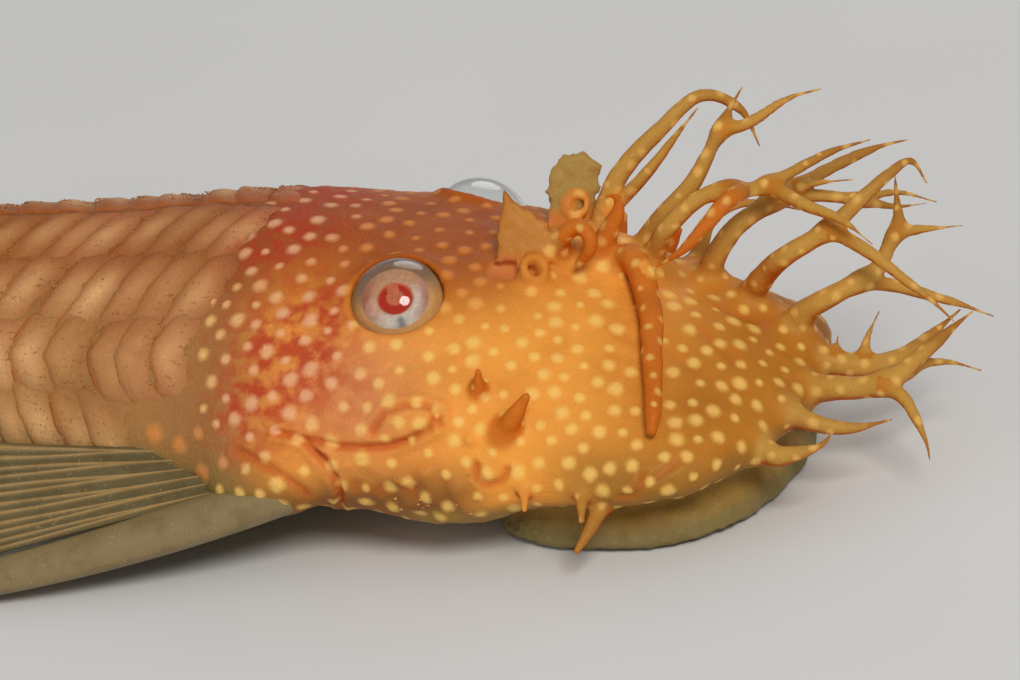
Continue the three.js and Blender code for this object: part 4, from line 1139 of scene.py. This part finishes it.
def make_fan(fin, side, rng):
    along, across = ((84, max(60, 14 * fin["rays"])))
    a, c = np.meshgrid(np.linspace(-0.05, 1, along), np.linspace(0, 1, across), indexing="ij")
    ray = ray_height(fin, np.clip(a, 0, 1), c)
    reach = a * (1 - 0.03 * (1 - ray) * smoothstep(0.7, 1, a))
    middle = fin_surface(fin, reach, c)
    step = 0.01
    ahead = fin_surface(fin, reach + step, c) - middle
    beside = fin_surface(fin, reach, c + step) - middle
    normal = unit(np.cross(ahead, beside))
    thick = np.clip(a, 0, 1) ** 0.7
    thick = fin["thickness"][0] * (1 - thick) + fin["thickness"][1] * thick
    half = thick / 2 * (0.55 + 0.2 * ray) + 0.085 * ray
    edge = smoothstep(0, 0.02, 1 - a) * smoothstep(0, 0.01, c) * smoothstep(0, 0.01, 1 - c)
    half = half * (0.3 + 0.7 * edge)
    sag = 0.22 * np.sin(7 * a + 9 * c + rng.uniform(0, 6)) * np.clip(a, 0, 1)
    upper = middle + normal * (sag + half)[..., None]
    lower = middle + normal * (sag - half)[..., None]
    points = np.concatenate([upper.reshape(-1, 3), lower.reshape(-1, 3)])
    ray = np.concatenate([ray.ravel()] * 2)
    share = np.concatenate([a.ravel()] * 2)
    tones = mix(np.tile(TONES["membrane"], (len(points), 1)), "ray", ray * 0.9)
    tones = mix(tones, "spot_top", smoothstep(0.12, 0.0, share) * 0.5)
    points[:, 1] = points[:, 1] * side + sway_at(points[:, 0])
    points[:, 2] = np.maximum(points[:, 2], 0.02)
    faces = slab_faces(along, across)
    return points, faces if side > 0 else faces[:, ::-1], tones


SPINE_TIP = 0.965  # share of a spine's length at which its tip begins to round


def make_spine(spine, side):
    """A stout spine with a rounded flat section and a blunt tip."""
    steps, sides = ((110, 36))
    start, end = np.array(spine["from"], float), np.array(spine["to"], float)
    aim = end - start
    aside = unit(np.cross([0, 0, 1], aim))
    up = unit(np.cross(aim, aside))
    t = np.linspace(0, 1, steps)[:, None]
    angle = np.linspace(0, 2 * math.pi, sides, endpoint=False)[None, :]
    tip = np.clip((t - SPINE_TIP) / (1 - SPINE_TIP), 0, 1)
    taper = (1 - 0.5 * t ** 2.2) * (0.5 + 0.5 * smoothstep(0, 0.1, t)) * np.sqrt(1 - tip ** 2 * 0.98)
    groove = 1 - 0.05 * np.exp(-(np.sin(angle) / 0.3) ** 2)
    across = np.cos(angle) * taper * spine["width"] / 2 * groove
    rise = np.sin(angle) * taper * spine["thickness"] / 2
    bowed = start + aim * t + np.array(spine["bow"]) * 4 * t * (1 - t)
    points = bowed[:, None] + aside * across[..., None] + up * rise[..., None]
    points = points.reshape(-1, 3)
    index = np.arange(steps * sides).reshape(steps, sides)
    after = np.roll(index, -1, 1)
    faces = np.stack([index[:-1], index[1:], after[1:], after[:-1]], -1).reshape(-1, 4)
    ends = np.array([[points[:sides].mean(0)], [points[-sides:].mean(0)]]).reshape(2, 3)
    centre = len(points)
    points = np.concatenate([points, ends])
    caps = np.concatenate([np.stack([index[0], after[0], after[0], after[0] * 0 + centre], 1),
                           np.stack([after[-1], index[-1], index[-1], after[-1] * 0 + centre + 1], 1)])
    points[:, 1] = points[:, 1] * side + sway_at(points[:, 0])
    points[:, 2] = np.maximum(points[:, 2], 0.0)
    faces = [list(f) for f in faces] + [[f[0], f[1], f[3]] for f in caps.tolist()]
    if side < 0:
        faces = [f[::-1] for f in faces]
    return points, faces, np.tile(TONES["spine"], (len(points), 1))


# Meshes and objects

def to_frame(points):
    return (np.asarray(points, float) + SHIFT) * MM


def make_object(name, points, faces, attributes=None, maps=None, material=None):
    mesh = bpy.data.meshes.new(name)
    if isinstance(faces, np.ndarray):
        mesh.vertices.add(len(points))
        mesh.vertices.foreach_set("co", to_frame(points).astype(np.float32).ravel())
        mesh.loops.add(faces.size)
        mesh.loops.foreach_set("vertex_index", faces.astype(np.int32).ravel())
        mesh.polygons.add(len(faces))
        mesh.polygons.foreach_set("loop_start", np.arange(len(faces), dtype=np.int32) * faces.shape[1])
    else:
        mesh.from_pydata(to_frame(points).tolist(), [], faces)
    mesh.update(calc_edges=True)
    mesh.polygons.foreach_set("use_smooth", np.ones(len(mesh.polygons), bool))
    for key, values in (attributes or {}).items():
        if values.ndim == 2:
            layer = mesh.attributes.new(key, "FLOAT_COLOR", "POINT")
            packed = np.concatenate([values, np.ones((len(values), 1))], 1)
            layer.data.foreach_set("color", packed.astype(np.float32).ravel())
        else:
            layer = mesh.attributes.new(key, "FLOAT", "POINT")
            layer.data.foreach_set("value", values.astype(np.float32))
    if maps is not None:
        layer = mesh.uv_layers.new(name="OFBake")
        corners = np.zeros(len(mesh.loops), np.int32)
        mesh.loops.foreach_get("vertex_index", corners)
        layer.data.foreach_set("uv", maps[corners].astype(np.float32).ravel())
    thing = bpy.data.objects.new(name, mesh)
    bpy.context.scene.collection.objects.link(thing)
    if material:
        mesh.materials.append(material)
    return thing


def joined(parts):
    """Points, faces and colours of several pieces as one."""
    points, faces, tones = [], [], []
    for p, f, t in parts:
        offset = sum(len(q) for q in points)
        faces += [[int(i) + offset for i in face] for face in f]
        points.append(p)
        tones.append(t)
    return np.concatenate(points), faces, np.concatenate(tones)


def lathe(profile, centre, axis, up, sides=96):
    """A profile of radius and height, from the axis and back to it, turned round the axis."""
    axis = unit(axis)
    up = unit(up - axis * np.dot(up, axis))
    aside = np.cross(up, axis)
    profile = np.array(profile, float)
    angle = np.linspace(0, 2 * math.pi, sides, endpoint=False)
    out = np.cos(angle)[:, None] * up + np.sin(angle)[:, None] * aside
    rings = centre + profile[1:-1, None, :1] * out[None] + profile[1:-1, None, 1:] * axis
    poles = centre + profile[[0, -1], 1:] * axis
    index = np.arange((len(profile) - 2) * sides).reshape(-1, sides)
    after = np.roll(index, -1, 1)
    quads = np.stack([index[:-1], index[1:], after[1:], after[:-1]], -1).reshape(-1, 4)
    first, last = index.size, index.size + 1
    fans = [[first, int(a), int(b)] for a, b in zip(index[0], after[0])]
    fans += [[last, int(b), int(a)] for a, b in zip(index[-1], after[-1])]
    return np.concatenate([rings.reshape(-1, 3), poles]), quads.tolist() + fans, np.tile(angle, len(index))


def volume_sign(points, faces):
    corners = points[faces[:, :3]]
    first = np.einsum("ij,ij->i", corners[:, 0], np.cross(corners[:, 1], corners[:, 2])).sum()
    if faces.shape[1] == 4:
        corners = points[faces[:, [0, 2, 3]]]
        first += np.einsum("ij,ij->i", corners[:, 0], np.cross(corners[:, 1], corners[:, 2])).sum()
    return 1 if first > 0 else -1


def turned_out(points, faces):
    """The faces, turned so that a closed surface faces outward."""
    if isinstance(faces, np.ndarray):
        return faces if volume_sign(points, faces) > 0 else faces[:, ::-1]
    thirds = np.array([[f[0], f[k], f[k + 1]] for f in faces for k in range(1, len(f) - 1)])
    return faces if volume_sign(points, thirds) > 0 else [f[::-1] for f in faces]


# Materials

class Look:
    """A node material that is written as a few lines."""

    def __init__(self, name, roughness=0.45, coat=0.0, subsurface=0.0, specular=0.3):
        self.material = bpy.data.materials.new(name)
        self.material.use_nodes = True
        self.tree = self.material.node_tree
        self.tree.nodes.clear()
        self.shader = self.tree.nodes.new("ShaderNodeBsdfPrincipled")
        output = self.tree.nodes.new("ShaderNodeOutputMaterial")
        self.tree.links.new(self.shader.outputs[0], output.inputs[0])
        self.shader.inputs["Roughness"].default_value = roughness
        self.shader.inputs["Coat Weight"].default_value = coat
        self.shader.inputs["Coat Roughness"].default_value = 0.15
        self.shader.inputs["Specular IOR Level"].default_value = specular
        self.shader.inputs["Subsurface Weight"].default_value = subsurface
        self.shader.inputs["Subsurface Radius"].default_value = (1.0, 0.35, 0.18)
        self.shader.inputs["Subsurface Scale"].default_value = 0.9 * MM
        self.place = self.tree.nodes.new("ShaderNodeTexCoord").outputs["Object"]

    def node(self, kind, settings, inputs, output=0):
        node = self.tree.nodes.new(kind)
        for key, value in settings.items():
            setattr(node, key, value)
        for key, value in inputs.items():
            if isinstance(value, bpy.types.NodeSocket):
                self.tree.links.new(value, node.inputs[key])
            else:
                node.inputs[key].default_value = value
        return node.outputs[output]

    def attribute(self, name, colour=False):
        return self.node("ShaderNodeAttribute", {"attribute_name": name}, {}, "Color" if colour else "Fac")

    def noise(self, size, detail=2.0):
        """Noise from 0 to 1 with forms of the given size in millimetres."""
        inputs = {"Vector": self.place, "Scale": 1 / (size * MM), "Detail": detail}
        return self.node("ShaderNodeTexNoise", {}, inputs, "Fac")

    def step(self, value, low, high, bottom=0.0, top=1.0):
        inputs = {"Value": value, "From Min": low, "From Max": high, "To Min": bottom, "To Max": top}
        return self.node("ShaderNodeMapRange", {"interpolation_type": "SMOOTHSTEP"}, inputs)

    def math(self, kind, first, second):
        return self.node("ShaderNodeMath", {"operation": kind}, {0: first, 1: second})

    def mix(self, first, second, share, kind="MIX"):
        inputs = {0: share, 6: first, 7: second}
        return self.node("ShaderNodeMix", {"data_type": "RGBA", "blend_type": kind}, inputs, 2)

    def bump(self, height, distance):
        return self.node("ShaderNodeBump", {}, {"Height": height, "Distance": distance * MM})

    def finish(self, colour, normal=None, roughness=None):
        self.tree.links.new(colour, self.shader.inputs["Base Color"])
        if normal:
            self.tree.links.new(normal, self.shader.inputs["Normal"])
        if roughness:
            self.tree.links.new(roughness, self.shader.inputs["Roughness"])
        return self.material


def tone(name):
    return (*TONES[name], 1)


def skin_look():
    look = Look("skin", roughness=0.5, coat=0.03, subsurface=0.12, specular=0.12)
    broad, middle, fine = look.noise(5, 3), look.noise(0.9, 3), look.noise(0.22, 2)
    colour = look.attribute("tone", True)
    colour = look.mix(colour, (0.80, 0.72, 0.62, 1), look.step(broad, 0.45, 0.7, 0, 0.55), "MULTIPLY")
    colour = look.mix(colour, (1.12, 1.1, 1.0, 1), look.step(middle, 0.48, 0.72, 0, 0.4), "MULTIPLY")
    red = look.math("MULTIPLY", look.attribute("blush"), look.step(look.noise(1.1, 4), 0.34, 0.62, 0.25, 1))
    colour = look.mix(colour, tone("blush"), look.math("MULTIPLY", red, 0.85))
    # painted shade in the folds' creases
    colour = look.mix(colour, tone("crease_shade"), look.attribute("crease_shade"))
    edge = look.math("ADD", look.attribute("spot"), look.math("MULTIPLY", look.noise(0.5, 2), 0.55))
    spot = look.step(edge, 1.65, 0.6)
    colour = look.mix(colour, look.attribute("spot_tone", True), look.math("MULTIPLY", spot, 0.74))
    # pale odontode specks, brightened further as painted glints
    pale_speck_glint = look.math("MULTIPLY", look.attribute("pale_speck_glint"), look.step(fine, 0.56, 0.78, 0, 0.5))
    colour = look.mix(colour, (1.5, 1.45, 1.25, 1), pale_speck_glint, "MULTIPLY")
    height = look.math("ADD", fine, look.math("MULTIPLY", middle, 0.8))
    normal = look.bump(height, 0.07)
    rough = look.step(middle, 0.3, 0.75, 0.4, 0.6)
    return look.finish(colour, normal, rough)


def granule_look():
    look = Look("granule", roughness=0.36, coat=0.1, subsurface=0.1)
    # the granules' own pale tone, made brighter as painted glints
    pale = look.step(look.noise(1.4, 2), 0.42, 0.66, 0.1, 0.8)
    return look.finish(look.mix(look.attribute("tone", True), tone("granule"), pale))


def fin_look():
    look = Look("fin", roughness=0.45, coat=0.15, subsurface=0.15)
    dim = look.step(look.noise(1.6, 3), 0.45, 0.7, 0, 0.6)
    colour = look.mix(look.attribute("tone", True), (0.7, 0.66, 0.5, 1), dim, "MULTIPLY")
    fine = look.noise(0.2, 2)
    # pale specks in the granule colour, partly painted glint
    colour = look.mix(colour, tone("granule"), look.step(fine, 0.6, 0.8, 0, 0.35))
    return look.finish(colour, look.bump(fine, 0.05))


def iris_look():
    look = Look("iris", roughness=0.5, specular=0.08)
    fine = look.noise(0.18, 3)
    bright = look.step(fine, 0.5, 0.75, 0, 0.6)
    colour = look.mix(look.attribute("tone", True), (1.25, 1.2, 1.15, 1), bright, "MULTIPLY")
    look.shader.inputs["Metallic"].default_value = 0.05
    return look.finish(colour, look.bump(fine, 0.03))


def cornea_look():
    look = Look("cornea", roughness=0.04, specular=0.1)
    look.shader.inputs["Transmission Weight"].default_value = 1
    look.shader.inputs["IOR"].default_value = 1.376
    tint = look.mix((0.9, 0.93, 0.94, 1), (0.96, 0.96, 0.95, 1), look.noise(3))
    return look.finish(tint)


# Eyes

PUPIL_RADIUS = 1.02
IRIS_RADIUS = 2.06
BALL_RADIUS = 2.9
BALL_SHIFT = [-0.14, 0, -0.1]
BALL_SIDES = 180
CORNEA_EDGE = (3.02, 0.78)
CORNEA_TOP = 2.66
CORNEA_THICKNESS = 0.14


def cornea_profile():
    """Radius and height along the outer face of the cornea and back along its inner face."""
    edge, top = CORNEA_EDGE, CORNEA_TOP
    ball = (edge[0] ** 2 + (top - edge[1]) ** 2) / (2 * (top - edge[1]))
    tilt = np.linspace(0, math.asin(min(edge[0] / ball, 1)), 22)
    if ball < edge[0]:
        tilt = np.linspace(0, math.pi - math.asin(edge[0] / ball), 22)
    outer = [(ball * math.sin(t), top - ball + ball * math.cos(t)) for t in tilt]
    inner = [((ball - CORNEA_THICKNESS) * math.sin(t), top - ball + (ball - CORNEA_THICKNESS) * math.cos(t))
             for t in tilt[::-1]]
    return outer + inner


def iris_profile():
    radii = np.concatenate([np.linspace(0, PUPIL_RADIUS, 12),
                            np.linspace(PUPIL_RADIUS + 0.05, BALL_RADIUS, 46)])
    step = smoothstep(PUPIL_RADIUS, PUPIL_RADIUS + 0.14, radii)
    level = 1.0 + 0.16 * step - 0.1 * (radii / 2.1) ** 2 - 0.12 * smoothstep(2.3, BALL_RADIUS, radii)
    return [*zip(radii, level), (BALL_RADIUS, 0.2), (0, 0.1)]


def iris_tones(points, angle, radius):
    """Colours of the iris and pupil, by angle from the eye's top and by distance from its middle, with
    painted light and shade: a whiter lower iris, and a ring round it darker at the top and lighter at the
    bottom.
    """
    turn = np.arctan2(np.sin(angle), np.cos(angle))
    rng = np.random.default_rng(SEED + 9)
    fibre = ripple(points, 0.34, rng, 14) + 0.6 * np.sin(angle * 70 + 5 * ripple(points, 0.9, rng))
    tones = np.tile(TONES["silver"], (len(points), 1))
    # painted highlight: the iris is whitened towards its lower side
    tones = mix(tones, "bright", smoothstep(0.3, -0.7, np.cos(turn + 0.45)) * 0.95)
    flank = smoothstep(1.2, 1.95, radius) * np.abs(np.sin(turn - 0.2)) ** 3
    tones = mix(tones, "flank", 0.75 * flank)
    tones = mix(tones, "inner", smoothstep(1.5, 1.1, radius) * 0.6)
    tones = tones * (0.94 + 0.1 * fibre[:, None])
    aside, above = radius * np.sin(turn), radius * np.cos(turn)
    from_lobe = np.minimum(np.hypot(aside, above - 0.12) - 0.52,
                           np.maximum(np.abs(aside) - 0.34, np.abs(above - 0.7) - 0.6))
    lobe = smoothstep(0.08, -0.04, from_lobe) * smoothstep(PUPIL_RADIUS + 0.06, PUPIL_RADIUS - 0.02, radius)
    notch = np.exp(-((np.abs(turn) - math.pi) / 0.16) ** 2) * smoothstep(1.2, 1.5, radius)
    tones = mix(tones, "notch", notch * 0.8)
    pupil = smoothstep(PUPIL_RADIUS + 0.04, PUPIL_RADIUS - 0.05, radius)
    tones = mix(tones, "pupil_edge", smoothstep(PUPIL_RADIUS + 0.16, PUPIL_RADIUS, radius))
    tones = mix(tones, "pupil", pupil)
    tones = blended(tones, TONES["lobe"] * (0.95 + 0.16 * fibre[:, None]), lobe)
    # painted shade and light on the ring round the iris: darker at the top, lighter at the bottom
    ring_light_and_shade = blended(np.tile(TONES["ring_lit_low"], (len(points), 1)), TONES["ring_shaded_top"],
                        smoothstep(-0.3, 0.6, np.cos(angle)))
    return blended(tones, ring_light_and_shade, smoothstep(IRIS_RADIUS - 0.06, IRIS_RADIUS + 0.1, radius))


def make_eye(label, side):
    centre, axis = EYE_CENTRE * [1, side, 1], EYE_AXIS * [1, side, 1]
    up = unit(np.array([-0.1, 0, 1.0]))
    points, faces, _ = lathe(cornea_profile(), centre, axis, up)
    cornea = make_object(f"cornea_{label}", points, turned_out(points, faces), material=LOOKS["cornea"])

    profile = iris_profile()
    points, faces, angle = lathe(profile, centre + BALL_SHIFT, axis, up, BALL_SIDES)
    angle = np.append(angle, [0, 0])
    radius = np.repeat([p[0] for p in profile[1:-1]], BALL_SIDES)
    tones = iris_tones(points, angle, np.append(radius, [0, 0]))
    eye = make_object(f"eyeball_{label}", points, turned_out(points, faces), {"tone": tones},
                      material=LOOKS["iris"])
    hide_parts(f"eye_{label}")
    for piece in (eye, cornea):
        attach(piece, "root")


# The fish

LOOKS = {"skin": skin_look(), "granule": granule_look(), "fin": fin_look(), "iris": iris_look(),
         "cornea": cornea_look()}
SIDES = {"right": 1, "left": -1}  # the measures above are of the right side, where Y is negative

FLESH = ["head", "trunk", "tail", "upper_lip", "lower_lip"]
FLESH += [f"{name}_{side}" for name in ("cheek", "opercle", "barbel", "nostril_tube", "nostril_flap")
          for side in SIDES]
FLESH += list(TENTACLES)
FLESH += [f"margin_tentacle_{side}_{number}" for side in SIDES for number in (1, 2, 3, 4)]


def build_skin():
    rng = np.random.default_rng(SEED)
    arms = make_arms()
    points, faces = model_skin(arms)
    faces = turned_out(points, faces)
    points, marks, normals = finish_skin(points, faces, arms, rng)
    skin = make_object("skin", points, faces, marks, material=LOOKS["skin"])
    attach(skin, "root")
    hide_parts(*FLESH)
    for label, side in SIDES.items():
        roots, aims = cheek_spine_roots(points, normals, side, rng)
        maps = unwrap(-roots[:, 0], np.full(len(roots), 0.7), side)
        points_here, faces_here, maps = make_granules(
            roots, aims, maps, CHEEK_SPINES["length"], CHEEK_SPINES["width"], rng)
        tones = np.tile(TONES["spot_base"], (len(points_here), 1))
        spines = make_object(f"cheek_spines_{label}", points_here, faces_here, {"tone": tones}, maps,
                             LOOKS["granule"])
        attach(spines, "root")


def build_plates():
    for label, side in SIDES.items():
        rng = np.random.default_rng(SEED + side)
        points, faces, maps, marks = make_plates(side, rng)
        plates = make_object(f"plates_{label}", points, faces, marks, maps, LOOKS["skin"])
        roots, normals, maps = plate_granules(side, rng)
        tones = body_tone(roots)
        points, faces, maps = make_granules(roots, normals, maps, GRANULE_SIZE, GRANULE_SIZE, rng)
        granules = make_object(f"granules_{label}", points, faces, {"tone": np.repeat(tones, 4, 0)}, maps,
                               LOOKS["granule"])
        for piece in (plates, granules):
            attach(piece, "root")


def build_fins():
    rng = np.random.default_rng(SEED + 5)
    paired = {"pectoral_fin": PECTORAL, "pelvic_fin": PELVIC}
    for name, fin in paired.items():
        for label, side in SIDES.items():
            points, faces, tones = joined([make_fan(fin, side, rng), make_spine(fin["spine"], side)])
            add_fin(f"{name}_{label}", points, faces, tones)
    for name, fin in MEDIAN_FINS.items():
        points, faces, tones = make_fan(fin, 1, rng)
        add_fin(name, points, turned_out(points, faces), tones)


def add_fin(name, points, faces, tones):
    fin = make_object(f"{name}_rays", points, faces, {"tone": tones}, material=LOOKS["fin"])
    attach(fin, "root")
    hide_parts(name)


build_skin()
build_plates()
build_fins()
for label, side in SIDES.items():
    make_eye(label, side)


# Camera, floor and light

CAMERA_PLACE = PLANE_CENTRE + PLANE["distance"] * OUTWARD
CAMERA_AXES = np.array([FORWARD, UPWARD, OUTWARD]).T
FOCAL_LENGTH = 252.53
SENSOR = 36


def add_camera():
    camera = bpy.data.objects.new("camera", bpy.data.cameras.new("camera"))
    camera.data.lens = FOCAL_LENGTH
    camera.data.sensor_width = SENSOR
    camera.data.clip_start = 0.02
    camera.data.clip_end = 100
    camera.matrix_world = Matrix.Translation(to_frame(CAMERA_PLACE)) @ Matrix(CAMERA_AXES).to_4x4()
    bpy.context.scene.collection.objects.link(camera)
    bpy.context.scene.camera = camera


def add_light(name, place, size, power, colour=(1, 1, 1)):
    data = bpy.data.lights.new(name, "AREA")
    data.shape = "DISK"
    data.size = size
    data.energy = power
    data.color = colour
    lamp = bpy.data.objects.new(name, data)
    back = unit(place)
    aside = unit(np.cross([0, 1, 0.01], back))
    axes = np.array([aside, np.cross(back, aside), back]).T
    lamp.matrix_world = Matrix.Translation(place) @ Matrix(axes).to_4x4()
    lamp.visible_camera = False
    bpy.context.scene.collection.objects.link(lamp)


def add_floor():
    half = 10000.0
    corners = np.array([[-half, -half, 0], [half, -half, 0], [half, half, 0], [-half, half, 0]]) - SHIFT
    look = Look("floor", roughness=0.8)
    shade = look.step(look.noise(40), 0.3, 0.7, 0.78, 0.8)
    look.finish(look.mix((0, 0, 0, 1), (1, 0.99, 0.97, 1), shade))
    floor = make_object("floor", corners, np.array([[0, 1, 2, 3]]), material=look.material)


def add_world():
    world = bpy.data.worlds.new("studio")
    world.use_nodes = True
    world.node_tree.nodes["Background"].inputs[0].default_value = (0.95, 0.97, 1, 1)
    world.node_tree.nodes["Background"].inputs[1].default_value = 0.3
    bpy.context.scene.world = world


add_camera()
add_floor()
add_world()
add_light("key", (0.58, -0.6, 0.72), 0.4, 6.4, (1, 0.98, 0.95))
add_light("fill", (-0.7, -0.7, 0.4), 0.6, 1.3)
add_light("back", (-0.1, 0.9, 0.6), 0.6, 1.3, (1, 0.98, 0.94))
bpy.context.scene.view_settings.view_transform = "Standard"
